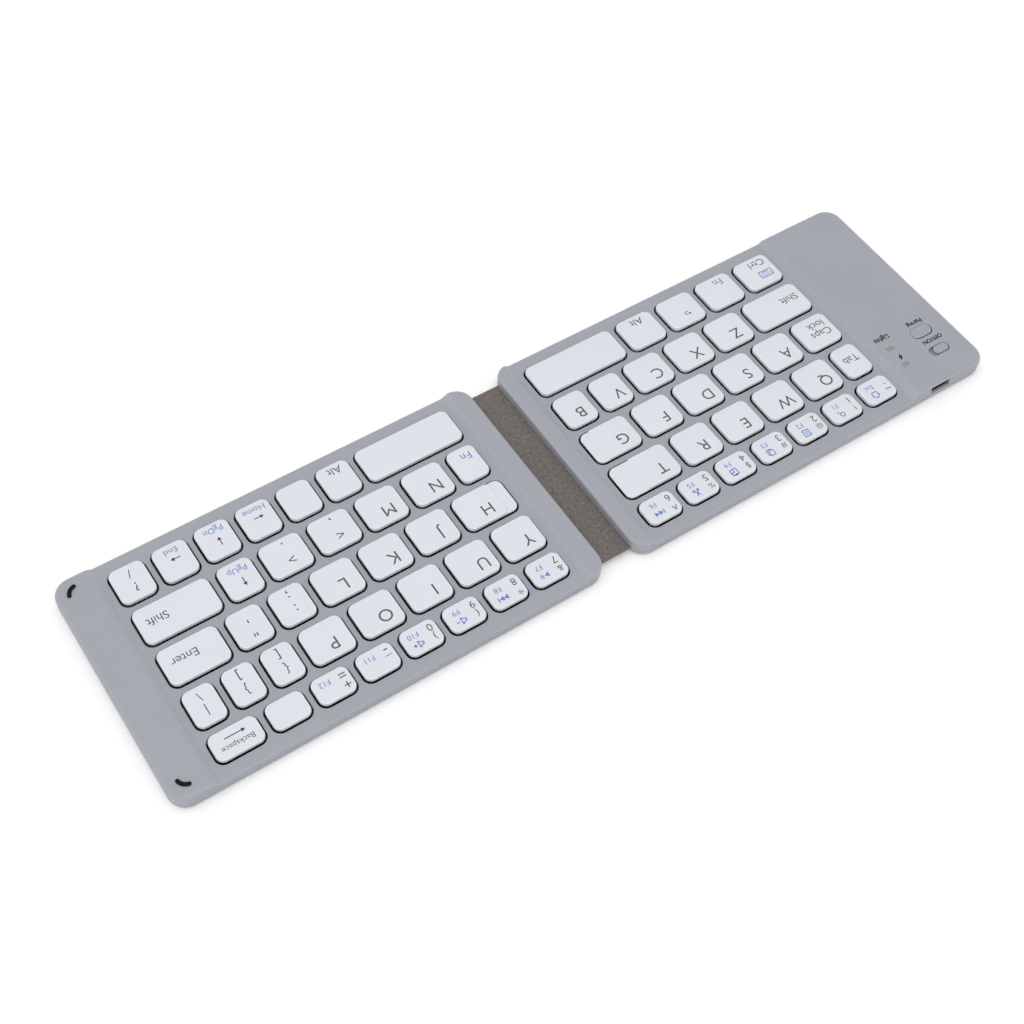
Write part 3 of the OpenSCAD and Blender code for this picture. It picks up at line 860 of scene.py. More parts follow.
def digit(side: Side, sign: str, figure: str, icon: str, name: str, width: float = 12.1) -> Cap:
    """A number key: sign and digit on its left, blue icon and function name on its right."""
    left = 2.3 - width / 2
    return Cap(
        f"number_row_{side.word}",
        width,
        (
            Mark(sign, left, 1.9, sized(sign, 2.2)),
            Mark(figure, left, -1.6, sized(figure, 2.5)),
            Mark(icon, left + 5.6, 1.75, 2.55, Ink.BLUE),
            Mark(name, left + 5.8, -1.6, 1.8, Ink.BLUE),
        ),
    )


ROWS: dict[Side, tuple[tuple[Cap, ...], ...]] = {
    L: (
        (
            Cap("space_left", 34.4),
            word(SIDE_L, 14.1, "Alt", -3.0, -3.6),
            Cap(SIDE_L, 14.1, (Mark("icon:back", -1.2, 2.2, 2.2, Ink.BLUE),)),
            word(SIDE_L, 14.1, "Fn", -3.8, -3.6, Ink.BLUE),
            Cap(
                SIDE_L,
                14.1,
                (
                    Mark("icon:keyboard", -2.2, 1.9, 3.0, Ink.BLUE),
                    Mark("Ctrl", -5.2, -3.4, WORD, align=Align.LEFT),
                ),
            ),
        ),
        (
            letter("b", -0.9, 11.5),
            letter("v", -1.8, 11.4),
            letter("c", -2.1),
            letter("x", -1.7),
            letter("z", -1.6),
            word(SIDE_L, 22.7, "Shift", -9.3, -0.6),
        ),
        (
            letter("g", -1.6, 17.4),
            letter("f", -1.85),
            letter("d", -2.3),
            letter("s", -2.2),
            letter("a", -2.1),
            Cap(
                SIDE_L,
                14.1,
                (
                    Mark("Caps", -5.2, 1.5, WORD, align=Align.LEFT),
                    Mark("lock", -4.9, -2.3, WORD, align=Align.LEFT),
                ),
            ),
        ),
        (
            letter("t", -1.5, 21.4),
            letter("r", -1.5),
            letter("e", -1.8),
            letter("w", -1.6),
            letter("q", -2.1),
            word(SIDE_L, 10.1, "Tab", -3.2, -0.4),
        ),
        (
            digit(L, "^", "6", "icon:previous", "F6", 12.4),
            digit(L, "%", "5", "icon:scissors", "F5"),
            digit(L, "$", "4", "icon:paste", "F4"),
            digit(L, "#", "3", "icon:copy", "F3"),
            digit(L, "@", "2", "icon:select", "F2"),
            digit(L, "!", "1", "icon:search", "F1"),
            digit(L, "~", "`", "icon:house", "Esc"),
        ),
    ),
    R: (
        (
            Cap("space_right", 34.6),
            word(SIDE_R, 11.4, "Alt", -2.9, -3.6),
            Cap(SIDE_R, 11.4),
            arrow_key("left", -0.5, -0.6, "Home", -0.3, -3.7),
            arrow_key("down", -0.6, 0.9, "PgDn", -0.4, -3.7),
            arrow_key("right", -0.4, -0.6, "End", -0.3, -3.7),
            pair(SIDE_R, 11.4, "?", "/", -0.4),
        ),
        (
            word(SIDE_R, 10.1, "Fn", -3.0, -2.6, Ink.BLUE),
            letter("n", -1.75),
            letter("m", -1.4),
            pair(SIDE_R, 14.1, "<", ",", -0.9),
            pair(SIDE_R, 14.1, ">", ".", -0.9),
            arrow_key("up", -0.6, 1.6, "PgUp", -0.5, -3.0),
            Cap(SIDE_R, 25.1, (Mark("Shift", 9.6, -0.5, WORD, align=Align.RIGHT),)),
        ),
        (
            letter("h", -2.0, 18.3),
            letter("j", -1.8),
            letter("k", -1.7),
            letter("l", -1.2),
            pair(SIDE_R, 11.4, ":", ";", -0.5),
            pair(SIDE_R, 11.4, '"', "'", -0.3),
            Cap(SIDE_R, 19.6, (Mark("Enter", 6.8, -0.8, WORD, align=Align.RIGHT),)),
        ),
        (
            letter("y", -2.3),
            letter("u", -2.7),
            letter("i", -2.2),
            letter("o", -1.9),
            letter("p", -1.3),
            pair(SIDE_R, 9.9, "{", "[", -0.3),
            pair(SIDE_R, 9.9, "}", "]", 0.0),
            pair(SIDE_R, 9.8, "|", "\\", 0.0),
        ),
        (
            digit(R, "&", "7", "icon:play", "F7"),
            digit(R, "*", "8", "icon:next", "F8"),
            digit(R, "(", "9", "icon:quieter", "F9"),
            digit(R, ")", "0", "icon:louder", "F10"),
            digit(R, "_", "-", "", "F11"),
            digit(R, "+", "=", "", "F12"),
            Cap("number_row_right", 12.1),
            Cap(
                "number_row_right",
                15.4,
                (Mark("Backspace", 0.0, 1.6, 1.75), Mark("icon:long_left", -0.3, -1.5, 1.9)),
            ),
        ),
    ),
}

SHELVED = ("key_t", "key_g", "key_h")


@dataclass(frozen=True)
class SetKey:
    """A key in its place: its row entry, the u and y of its middle, its depth and the width of its shelf."""

    cap: Cap
    u: float
    y: float
    depth: float
    shelf: float


@dataclass(frozen=True)
class Case:
    """Sizes of one half's case and of the key field in it."""

    side: Side
    wall: float = 5.6
    length: float = 147.5
    depth: float = 84.4
    height: float = 6.4
    deck: float = 4.8
    split: float = 2.1
    foot: float = 0.4
    floor: float = 1.0
    corner: float = 6.0
    ramp: float = 2.8
    margin: float = 2.0
    outer_round: float = 1.5
    ridge_round: float = 1.1
    deck_round: float = 0.7
    base_round: float = 0.95
    clamp: float = 3.0
    wall_t: float = 1.2
    deck_under: float = 3.8
    roof_under: float = 5.2
    letter_depth: float = 13.0
    number_depth: float = 9.2
    row_gap: float = 3.2
    key_gap: float = 2.9
    letter_w: float = 14.1
    front: float = 37.0
    clear: float = 0.6
    screw_in: tuple[float, float, float] = (5.0, 6.0, 6.0)

    @property
    def inset(self) -> float:
        """The distance from the hinge wall to the nearest key."""
        return 9.4 if self.side is Side.LEFT else 10.6

    @property
    def field_width(self) -> float:
        """The width of the block of keys."""
        return 102.4 if self.side is Side.LEFT else 120.4

    @property
    def pocket(self) -> Place:
        """Where the low deck starts and ends along u."""
        return self.inset - self.margin, self.inset + self.field_width + self.margin

    def keys(self) -> list[SetKey]:
        """Places every key of the half.

        Returns:
            The keys, front row first and from the hinge outwards.
        """
        placed = []
        for row, caps in enumerate(ROWS[self.side]):
            depth = self.number_depth if row == 4 else self.letter_depth
            y = row * (self.letter_depth + self.row_gap) - self.front + depth / 2
            u = self.inset
            for cap in caps:
                shelf = cap.width - self.letter_w if cap.node in SHELVED else 0.0
                placed.append(SetKey(cap, u + cap.width / 2, y, depth, shelf))
                u += cap.width + self.key_gap
        return placed

    @property
    def screws(self) -> list[Place]:
        """The axes of the half's four screws."""
        hinge, outer, edge = self.screw_in
        return [(u, s * (self.depth / 2 - edge)) for u in (hinge, self.length - outer) for s in (-1, 1)]

    def room(self, name: str, floor: float, ceiling: float, start: float | None = None) -> Piece:
        """Models the block that hollows a shell inside its walls.

        Args:
            name: The block's name.
            floor: The height of its underside.
            ceiling: The height of its top.
            start: Where it begins along u, or None for the edge of the strip's clamp.

        Returns:
            The block.
        """
        wall_y = self.depth / 2 - self.wall_t
        low = (self.clamp if start is None else start, -wall_y, floor)
        return tablet(name, low, (self.length - self.wall_t, wall_y, ceiling), self.corner - self.wall_t, 6)

    def low(self, u: float) -> float:
        """How far down the slope a place along u is, from 0 on a platform to 1 on the deck."""
        start, end = self.pocket
        share = min((u - start + self.ramp) / self.ramp, (end + self.ramp - u) / self.ramp)
        share = min(max(share, 0.0), 1.0)
        return (1.0 - math.cos(math.pi * share)) / 2

    def top(self, u: float) -> float:
        """The height of the top face along u."""
        return self.height + (self.deck - self.height) * self.low(u)

    def rounding(self, u: float) -> float:
        """The radius of the top edge along u."""
        wide = self.ridge_round if u < self.length / 2 else self.outer_round
        return wide + (self.deck_round - wide) * self.low(u)


# The pieces, one class for each sub-assembly.


@dataclass
class Shell:
    """The two mouldings of one half: the top shell with its windows and the base shell."""

    case: Case
    first_round: float = 1.4
    steps: int = 6
    corner_steps: int = 14
    ramp_cuts: int = 8
    seam: float = 0.12
    window_corner: float = 3.0
    bay_floor: float = 3.0
    slot_reach: float = 38.15
    slot_heights: Place = (1.0, 3.0)
    rim_round: float = 0.18
    # How far in from the outline the painted edge highlight reaches.
    wear_depth: float = 1.7
    boss: float = 1.6
    screw_hole: float = 1.3
    hole_top: float = 0.8
    hole_round: float = 0.1
    foot_run: Place = (43.75, 103.75)
    foot_in: float = 6.4
    foot_width: float = 5.0
    foot_round: float = 0.15

    def _outline_pull(self, x: float, y: float) -> tuple[float, Vector]:
        """Measures a place against the case's outline.

        Args:
            x: Its u in millimetres.
            y: Its y in millimetres.

        Returns:
            How deep it lies inside the outline, and the direction straight outwards.
        """
        case = self.case
        dx, dy = x - case.length / 2, y
        cx, cy = case.length / 2 - case.corner, case.depth / 2 - case.corner
        qx, qy = abs(dx) - cx, abs(dy) - cy
        if qx > 0 and qy > 0:
            reach = math.hypot(qx, qy)
            out = Vector((math.copysign(qx, dx), math.copysign(qy, dy), 0.0)) / reach
            return case.corner - reach, out
        if qx > qy:
            return case.corner - qx, Vector((math.copysign(1.0, dx), 0.0, 0.0))
        return case.corner - qy, Vector((0.0, math.copysign(1.0, dy), 0.0))

    def _form(self) -> Piece:
        """Models the outside of the top shell.

        Returns:
            A closed block with ridge, slopes, deck and platform, and rounded top edges.
        """
        case = self.case
        half = case.depth / 2
        low, high = (0.0, -half, case.split), (case.length, half, case.height)
        piece = tablet("top", low, high, case.corner, self.corner_steps)
        soften(piece, level(case.height), self.first_round, self.steps)
        start, end = case.pocket
        shifts = [case.ramp * i / self.ramp_cuts for i in range(self.ramp_cuts + 1)]
        slice_across(piece, [at + shift for at in (start - case.ramp, end) for shift in shifts])
        for vertex in piece.data.vertices:
            x, y, z = vertex.co / MM
            if z < case.height - self.first_round - 0.01:
                continue
            depth, out = self._outline_pull(x, y)
            share = min(max((z - case.height + self.first_round) / self.first_round, 0.0), 1.0)
            bite = case.rounding(x)
            if depth < self.first_round + 0.01:
                turn = 1.0 - math.sqrt(max(1.0 - share * share, 0.0))
                moved = Vector((x, y, 0.0)) + out * (depth - bite * turn)
                x, y = moved.x, moved.y
            vertex.co = Vector((x, y, case.top(x) - bite * (1.0 - share))) * MM
        return piece

    def _windows(self) -> Piece:
        """Models the block that cuts the key windows.

        Returns:
            All the windows of the half as one piece.
        """
        case = self.case
        masters: dict[Place, Piece] = {}
        cutters = []
        for key in case.keys():
            size = (key.cap.width, key.depth)
            if size not in masters:
                w, h = size[0] / 2 + case.clear, size[1] / 2 + case.clear
                low, high = (-w, -h, 1.5), (w, h, 9.0)
                masters[size] = tablet("window", low, high, self.window_corner)
            cutters.append(copied(masters[size], "window", (key.u, key.y, 0.0)))
        for master in masters.values():
            bpy.data.objects.remove(master)
        return joined("windows", cutters)

    def build_top(self, openings: Sequence[Piece] = ()) -> Piece:
        """Models the top shell.

        Args:
            openings: More blocks to cut out, in u and y.

        Returns:
            The top shell in its place.
        """
        case = self.case
        piece = self._form()
        soften(piece, level(case.split), self.seam, 1)
        cut_out(piece, case.room("room", 0.0, case.deck_under))
        platform = case.pocket[1] + case.ramp + 0.05
        cut_out(piece, case.room("bay", self.bay_floor, case.roof_under, platform))
        reach, (low, high) = self.slot_reach, self.slot_heights
        cut_out(piece, block("slot", (-1.0, -reach, low), (case.clamp + 0.05, reach, high)))
        for opening in (self._windows(), *openings):
            cut_out(piece, opening)
        keys = case.keys()

        def on_rim(a: Vector, b: Vector) -> bool:
            """A test for the top edges of the key windows."""
            if not level(case.deck)(a, b):
                return False
            for key in keys:
                w, h = key.cap.width / 2 + case.clear + 0.05, key.depth / 2 + case.clear + 0.05
                if all(abs(p.x - key.u) < w and abs(p.y - key.y) < h for p in (a, b)):
                    return True
            return False

        soften(piece, on_rim, self.rim_round, 2)
        bosses = [drum("boss", place, self.boss, case.floor, case.deck_under, 24) for place in case.screws]
        piece = joined(f"top_case_{case.side.word}", [piece, *bosses])
        set_on_side(piece, case.side, case.wall)

        def on_outline(place: Vector) -> bool:
            """Keeps the painted edge highlight to the outer edge and off the slopes."""
            u = place.x * case.side.value - case.wall
            return self._outline_pull(u, place.y)[0] < self.wear_depth

        polish(piece, where=on_outline)
        dress(piece, CASE)
        return hand_over(piece, case.side.body, "case_grey", f"top_shell_{case.side.word}")

    def build_base(self) -> Piece:
        """Models the base shell.

        Returns:
            The base shell in its place, hollow and with its screw holes.
        """
        case = self.case
        half = case.depth / 2
        low, high = (0.0, -half, case.foot), (case.length, half, case.split)
        piece = tablet("base", low, high, case.corner, self.corner_steps)
        soften(piece, level(case.foot), case.base_round, 5)
        soften(piece, level(case.split), self.seam, 1)
        cut_out(piece, case.room("room", case.floor, 4.0))
        holes = [drum("hole", place, self.screw_hole, -1.0, self.hole_top, 28) for place in case.screws]
        cut_out(piece, joined("holes", holes))
        on_hole = level(case.foot)
        soften(piece, lambda a, b: on_hole(a, b) and (a - b).length < 0.4, self.hole_round, 2)
        piece.name = piece.data.name = f"base_case_{case.side.word}"
        set_on_side(piece, case.side, case.wall)
        polish(piece)
        dress(piece, CASE)
        return hand_over(piece, case.side.body, "case_grey", f"base_shell_{case.side.word}")

    def build_feet(self) -> Piece:
        """Models the two rubber bars under the half, with rounded lower edges.

        Returns:
            Both bars as one piece.
        """
        case = self.case
        start, end = self.foot_run
        half = self.foot_width / 2
        bars = []
        for s in (-1, 1):
            y = s * (case.depth / 2 - self.foot_in)
            bar = tablet("bar", (start, y - half, 0.0), (end, y + half, case.foot + 0.02), half - 0.01, 8)
            soften(bar, level(0.0), self.foot_round, 2)
            bars.append(bar)
        piece = joined(f"rubber_feet_{case.side.word}", bars)
        set_on_side(piece, case.side, case.wall)
        polish(piece)
        dress(piece, RUBBER)
        return hand_over(piece, case.side.body, "black_rubber", f"feet_{case.side.word}")


@dataclass
class Printer:
    """Prints words, signs and icons as thin flat shapes just above a surface."""

    surface: float
    lift: float = 0.012
    cap_share: float = 0.682
    bold: float = 0.0
    line: float = 0.36

    @property
    def height(self) -> float:
        """The height that every print lies at."""
        return self.surface + self.lift

    def text(self, words: str, x: float, y: float, height: float, finish: Finish, align: Align) -> Piece:
        """Prints a word.

        Args:
            words: What is printed.
            x: Its middle or end in millimetres.
            y: The middle of its capitals.
            height: The height of its capitals.
            finish: Its ink.
            align: Which part of it stands at x.

        Returns:
            The printed word.
        """
        settle()
        bpy.ops.object.text_add(location=(0.0, 0.0, 0.0))
        piece = bpy.context.object
        piece.data.body = words
        piece.data.size = height / self.cap_share * MM
        piece.data.align_x = align.value
        piece.data.resolution_u = 4
        piece.data.offset = self.bold * MM
        bpy.ops.object.convert(target="MESH")
        piece = bpy.context.object
        piece.data.transform(Matrix.Translation(Vector((x, y - height / 2, self.height)) * MM))
        dress(piece, finish)
        return piece

    def bar(self, start: Place, end: Place, finish: Finish, width: float | None = None) -> Piece:
        """Prints a straight stroke.

        Args:
            start: One end in millimetres.
            end: The other end.
            finish: Its ink.
            width: Its width, or None for the usual line.

        Returns:
            The stroke.
        """
        run = Vector((end[0] - start[0], end[1] - start[1], 0.0))
        settle()
        bpy.ops.mesh.primitive_plane_add(size=1.0)
        piece = bpy.context.object
        grow = Matrix.Diagonal((run.length * MM, (width or self.line) * MM, 1.0, 1.0))
        turn = Matrix.Rotation(math.atan2(run.y, run.x), 4, "Z")
        middle = Vector(((start[0] + end[0]) / 2, (start[1] + end[1]) / 2, self.height)) * MM
        piece.data.transform(Matrix.Translation(middle) @ turn @ grow)
        dress(piece, finish)
        return piece

    def strokes(self, points: Sequence[Place], finish: Finish, closed: bool = False) -> list[Piece]:
        """Prints strokes from point to point, and back to the first one where closed."""
        ends = list(points[1:]) + ([points[0]] if closed else [])
        return [self.bar(a, b, finish) for a, b in zip(points, ends)]

    def patch(self, corners: Sequence[Place], finish: Finish) -> Piece:
        """Prints a filled shape with the given corners, in millimetres, in order."""
        settle()
        bpy.ops.mesh.primitive_circle_add(vertices=len(corners), radius=MM, fill_type="NGON")
        piece = bpy.context.object
        for vertex, (x, y) in zip(piece.data.vertices, corners):
            vertex.co = Vector((x, y, self.height)) * MM
        with editing(piece, "FACE"):
            bpy.ops.mesh.select_all(action="SELECT")
            bpy.ops.mesh.quads_convert_to_tris(ngon_method="CLIP")
            bpy.ops.mesh.normals_make_consistent(inside=False)
        piece.data.update()
        if piece.data.polygons[0].normal.z < 0:
            piece.data.flip_normals()
        dress(piece, finish)
        return piece

    def wedge(self, tip: Place, size: float, angle: float, finish: Finish) -> Piece:
        """Prints a filled triangle.

        Args:
            tip: Where its tip is, in millimetres.
            size: Its length from tip to base.
            angle: The direction that the tip points in, in degrees.
            finish: Its ink.

        Returns:
            The triangle.
        """
        settle()
        bpy.ops.mesh.primitive_circle_add(vertices=3, radius=size * 2 / 3 * MM, fill_type="NGON")
        piece = bpy.context.object
        turn = Matrix.Rotation(math.radians(angle - 90.0), 4, "Z")
        back = Vector((math.cos(math.radians(angle)), math.sin(math.radians(angle)), 0.0)) * size * 2 / 3
        middle = Vector((tip[0] - back.x, tip[1] - back.y, self.height)) * MM
        piece.data.transform(Matrix.Translation(middle) @ turn)
        dress(piece, finish)
        return piece

    def ring(self, middle: Place, radius: float, finish: Finish, sides: int = 20) -> Piece:
        """Prints a circle's outline.

        Args:
            middle: Its middle in millimetres.
            radius: The radius of its stroke's middle.
            finish: Its ink.
            sides: How many strokes it is made of.

        Returns:
            The outline.
        """
        turns = [2 * math.pi * i / sides for i in range(sides)]
        x, y = middle
        points = [(x + radius * math.cos(turn), y + radius * math.sin(turn)) for turn in turns]
        return joined("ring", self.strokes(points, finish, closed=True))

    def arrow(self, x: float, y: float, length: float, angle: float, finish: Finish) -> list[Piece]:
        """Prints an arrow with its middle at x and y, pointing along an angle in degrees."""
        c, s = math.cos(math.radians(angle)), math.sin(math.radians(angle))
        tail = (x - c * length / 2, y - s * length / 2)
        tip = (x + c * length / 2, y + s * length / 2)
        shaft = (tip[0] - c * 0.8, tip[1] - s * 0.8)
        return [self.bar(tail, shaft, finish), self.wedge(tip, 1.3, angle, finish)]

    def icon(self, name: str, x: float, y: float, size: float, finish: Finish) -> list[Piece]:
        """Prints a generic icon.

        Args:
            name: Which one.
            x: Its middle in millimetres.
            y: Its middle in millimetres.
            size: Its height.
            finish: Its ink.

        Returns:
            The shapes that it is made of.
        """
        h = size / 2

        def path(*points: Place, closed: bool = False) -> list[Piece]:
            """Strokes through points given in halves of the icon's height."""
            return self.strokes([(x + a * h, y + b * h) for a, b in points], finish, closed)

        def tip(a: float, b: float, angle: float, reach: float = 1.25) -> Piece:
            """A triangle whose tip is given in halves of the icon's height."""
            return self.wedge((x + a * h, y + b * h), reach * h, angle, finish)

        match name:
            case "left" | "right" | "up" | "down":
                angle = {"right": 0.0, "up": 90.0, "left": 180.0, "down": 270.0}[name]
                return self.arrow(x, y, 3.4, angle, finish)
            case "long_left":
                return self.arrow(x, y, 6.8, 180.0, finish)
            case "house":
                walls = path((-0.8, 0.1), (-0.8, -1.0), (0.8, -1.0), (0.8, 0.1))
                return path((-1.2, 0.0), (0.0, 1.0), (1.2, 0.0)) + walls
            case "search":
                lens = self.ring((x - 0.2 * h, y + 0.3 * h), 0.62 * h, finish)
                return [lens, *path((0.3, -0.2), (0.9, -1.0))]
            case "select":
                sheet = path((-0.9, 1.0), (0.9, 1.0), (0.9, -1.0), (-0.9, -1.0), closed=True)
                return sheet + path((-0.5, 0.3), (0.5, 0.3)) + path((-0.5, -0.3), (0.5, -0.3))
            case "copy":
                back = path((-0.9, 1.0), (0.4, 1.0), (0.4, -0.6), (-0.9, -0.6), closed=True)
                return back + path((0.4, 0.6), (0.9, 0.6), (0.9, -1.0), (-0.4, -1.0), (-0.4, -0.6))
            case "paste":
                board = path((-0.9, 0.8), (0.9, 0.8), (0.9, -1.0), (-0.9, -1.0), closed=True)
                clip = self.bar((x - 0.45 * h, y + 0.85 * h), (x + 0.45 * h, y + 0.85 * h), finish, 0.6)
                return [*board, clip, *path((0.0, 0.0), (0.9, 0.0)), *path((0.0, 0.0), (0.0, -1.0))]
            case "scissors":
                blades = path((-0.5, 1.0), (0.4, -0.4)) + path((0.5, 1.0), (-0.4, -0.4))
                rings = [self.ring((x + s * 0.6 * h, y - 0.7 * h), 0.3 * h, finish, 10) for s in (-1, 1)]
                return blades + rings
            case "previous":
                return path((-1.4, 0.7), (-1.4, -0.7)) + [tip(-1.2, 0.0, 180.0), tip(0.0, 0.0, 180.0)]
            case "next":
                return path((1.4, 0.7), (1.4, -0.7)) + [tip(1.2, 0.0, 0.0), tip(0.0, 0.0, 0.0)]
            case "play":
                return [tip(0.1, 0.0, 0.0), *path((0.5, 0.6), (0.5, -0.6)), *path((1.0, 0.6), (1.0, -0.6))]
            case "quieter" | "louder":
                half_horn = [(-1.2, 0.35), (-0.7, 0.35), (0.0, 0.9)]
                horn = path(*half_horn, *[(a, -b) for a, b in reversed(half_horn)], closed=True)
                sign = path((0.5, 0.0), (1.4, 0.0))
                return horn + sign + (path((0.95, 0.45), (0.95, -0.45)) if name == "louder" else [])
            case "back":
                hook = path((-0.9, 0.5), (0.6, 0.5), (0.9, 0.1), (0.6, -0.5), (-0.5, -0.5))
                return hook + [tip(-1.3, 0.5, 180.0, 0.8)]
            case "keyboard":
                frame = path((-1.7, 0.9), (1.7, 0.9), (1.7, -0.9), (-1.7, -0.9), closed=True)
                for b in (0.45, 0.0):
                    for a in (-1.2, -0.6, 0.0, 0.6, 1.2):
                        frame += path((a - 0.14, b), (a + 0.14, b))
                return frame + path((-0.9, -0.5), (0.9, -0.5))
            case "bolt":
                corners = (
                    (0.0, 1.0), (0.6, 1.0), (0.2, 0.3), (0.65, 0.3),
                    (-0.5, -1.1), (-0.1, -0.15), (-0.6, -0.15),
                )
                return [self.patch([(x + a * h, y + b * h) for a, b in corners], finish)]
        raise ValueError(f"no icon named {name}")

    def mark(self, mark: Mark, x: float, y: float) -> list[Piece]:
        """Prints one mark of a key whose middle is at x and y."""
        finish = PRINT_BLUE if mark.ink is Ink.BLUE else PRINT_GREY
        if not mark.what:
            return []
        if mark.what.startswith("icon:"):
            return self.icon(mark.what[5:], x + mark.x, y + mark.y, mark.height, finish)
        return [self.text(mark.what, x + mark.x, y + mark.y, mark.height, finish, mark.align)]


@dataclass
class KeySet:
    """The keycaps of one half, printed, and grouped as the part's nodes are."""

    case: Case
    low: float = 3.9
    high: float = 6.2
    corner: float = 2.4
    edge: float = 0.45
    skirt: float = 0.9
    ceiling: float = 5.3
    lip: float = 4.95
    step_in: float = 0.45
    shelf_drop: float = 0.6
    step_run: float = 0.5
    step_corner: float = 2.0
    masters: dict[tuple[float, float, float], Piece] = field(default_factory=dict)

    def _blank(self, w: float, h: float) -> Piece:
        """Models a plain cap: a rounded rim, and a skirt that steps in below the deck.

        Args:
            w: Its width in millimetres.
            h: Its depth.

        Returns:
            The cap, standing on the middle of u and y.
        """
        piece = tablet("cap", (-w / 2, -h / 2, self.lip), (w / 2, h / 2, self.high), self.corner, 7)
        soften(piece, level(self.high), self.edge, 4)
        with editing(piece, "FACE"):
            pick_faces(piece, lambda middle, normal: normal.z < -0.9)
            bpy.ops.mesh.inset(thickness=self.step_in * MM)
            down = (0.0, 0.0, (self.low - self.lip) * MM)
            bpy.ops.mesh.extrude_region_move(TRANSFORM_OT_translate={"value": down})
        return piece

    def _lower_shelf(self, piece: Piece, w: float, h: float, shelf: float) -> None:
        """Sinks the hinge side of a wide cap's top by a soft step that rounds the main cap's corners.

        Args:
            piece: The cap.
            w: Its width in millimetres.
            h: Its depth.
            shelf: The width of its low shelf.
        """
        edge = shelf - w / 2
        slice_across(piece, [edge - 0.6 + 0.15 * i for i in range(19)])
        slice_across(piece, [sign * (h / 2 - 0.6 - 0.2 * i) for i in range(9) for sign in (-1, 1)], 1)
        for vertex in piece.data.vertices:
            x, y, z = vertex.co / MM
            if z < self.lip + 0.3:
                continue
            across, along = edge + self.step_corner - x, abs(y) - h / 2 + self.step_corner
            if across > 0 and along > 0:
                away = math.hypot(across, along) - self.step_corner
            else:
                away = across - self.step_corner
            share = min(max(away / self.step_run, 0.0), 1.0)
            vertex.co.z -= self.shelf_drop * share * share * (3.0 - 2.0 * share) * MM

    def _master(self, w: float, h: float, shelf: float) -> Piece:
        """Models one size of keycap, hollow below, with its low shelf where it has one.

        Args:
            w: Its width in millimetres.
            h: Its depth.
            shelf: The width of the low shelf on the hinge side, or 0.

        Returns:
            The cap.
        """
        if (w, h, shelf) in self.masters:
            return self.masters[w, h, shelf]
        piece = self._blank(w, h)
        if shelf:
            self._lower_shelf(piece, w, h, shelf)
        a, b = w / 2 - self.skirt, h / 2 - self.skirt
        cut_out(piece, tablet("hollow", (-a, -b, 1.0), (a, b, self.ceiling), self.corner - self.skirt, 3))
        polish(piece, 50.0)
        dress(piece, CAP)
        self.masters[w, h, shelf] = piece
        return piece

    def build(self) -> list[Piece]:
        """Models, prints and places all the keys of the half.

        Returns:
            One piece for each key node.
        """
        side = self.case.side
        printer = Printer(self.high)
        parts: dict[str, list[Piece]] = {}
        for key in self.case.keys():
            master = self._master(key.cap.width, key.depth, key.shelf)
            cap = copied(master, "cap", (key.u, key.y, 0.0))
            set_on_side(cap, side, self.case.wall)
            middle = side.value * (self.case.wall + key.u + key.shelf / 2)
            prints = [p for mark in key.cap.marks for p in printer.mark(mark, middle, key.y)]
            parts.setdefault(key.cap.node, []).extend([cap, *prints])
        for master in self.masters.values():
            bpy.data.objects.remove(master)
        self.masters.clear()
        return [
            hand_over(joined(f"printed_{node}", pieces), node, "keycap_white", node)
            for node, pieces in parts.items()
        ]


@dataclass
class Switches:
    """The rubber domes and crossed links of one half, grouped by the key that presses them flat."""

    case: Case
    foot: float = 1.7
    pressed: float = 0.6

    def _shapes(self, node: Piece, finish: Finish) -> list[Piece]:
        """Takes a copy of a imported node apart.

        Args:
            node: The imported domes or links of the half.
            finish: What they are made of.

        Returns:
            One piece for each separate shape in the node.
        """
        twin = bpy.data.objects.new("shape", node.data.copy())
        bpy.context.scene.collection.objects.link(twin)
        dress(twin, finish)
        with editing(twin, "VERT"):
            bpy.ops.mesh.select_all(action="SELECT")
            bpy.ops.mesh.remove_doubles(threshold=0.0001 * MM)
            bpy.ops.mesh.separate(type="LOOSE")
        return list(bpy.context.selected_objects)

    def build(self, nodes: dict[str, Piece]) -> list[Piece]:
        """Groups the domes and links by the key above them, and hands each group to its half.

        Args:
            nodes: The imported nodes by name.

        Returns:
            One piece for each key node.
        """
        side = self.case.side
        names = (f"domes_{side.word}", f"scissor_links_{side.word}")
        wall = self.case.wall
        places = {(side.value * (wall + key.u), key.y): key.cap.node for key in self.case.keys()}
        groups: dict[str, list[Piece]] = {}
        for name, finish in zip(names, (DOME, LINK)):
            for shape in self._shapes(nodes[name], finish):
                spots = [vertex.co / MM for vertex in shape.data.vertices]
                middle = sum(spots, Vector()) / len(spots)
                nearest = min(places, key=lambda place: math.dist(place, (middle.x, middle.y)))
                groups.setdefault(places[nearest], []).append(shape)
        built = []
        for node, shapes in groups.items():
            piece = joined(f"switches_{node}", shapes)
            polish(piece)
            hand_over(piece, side.body, "dome_rubber", *names)
            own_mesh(piece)
            built.append(piece)
        return built


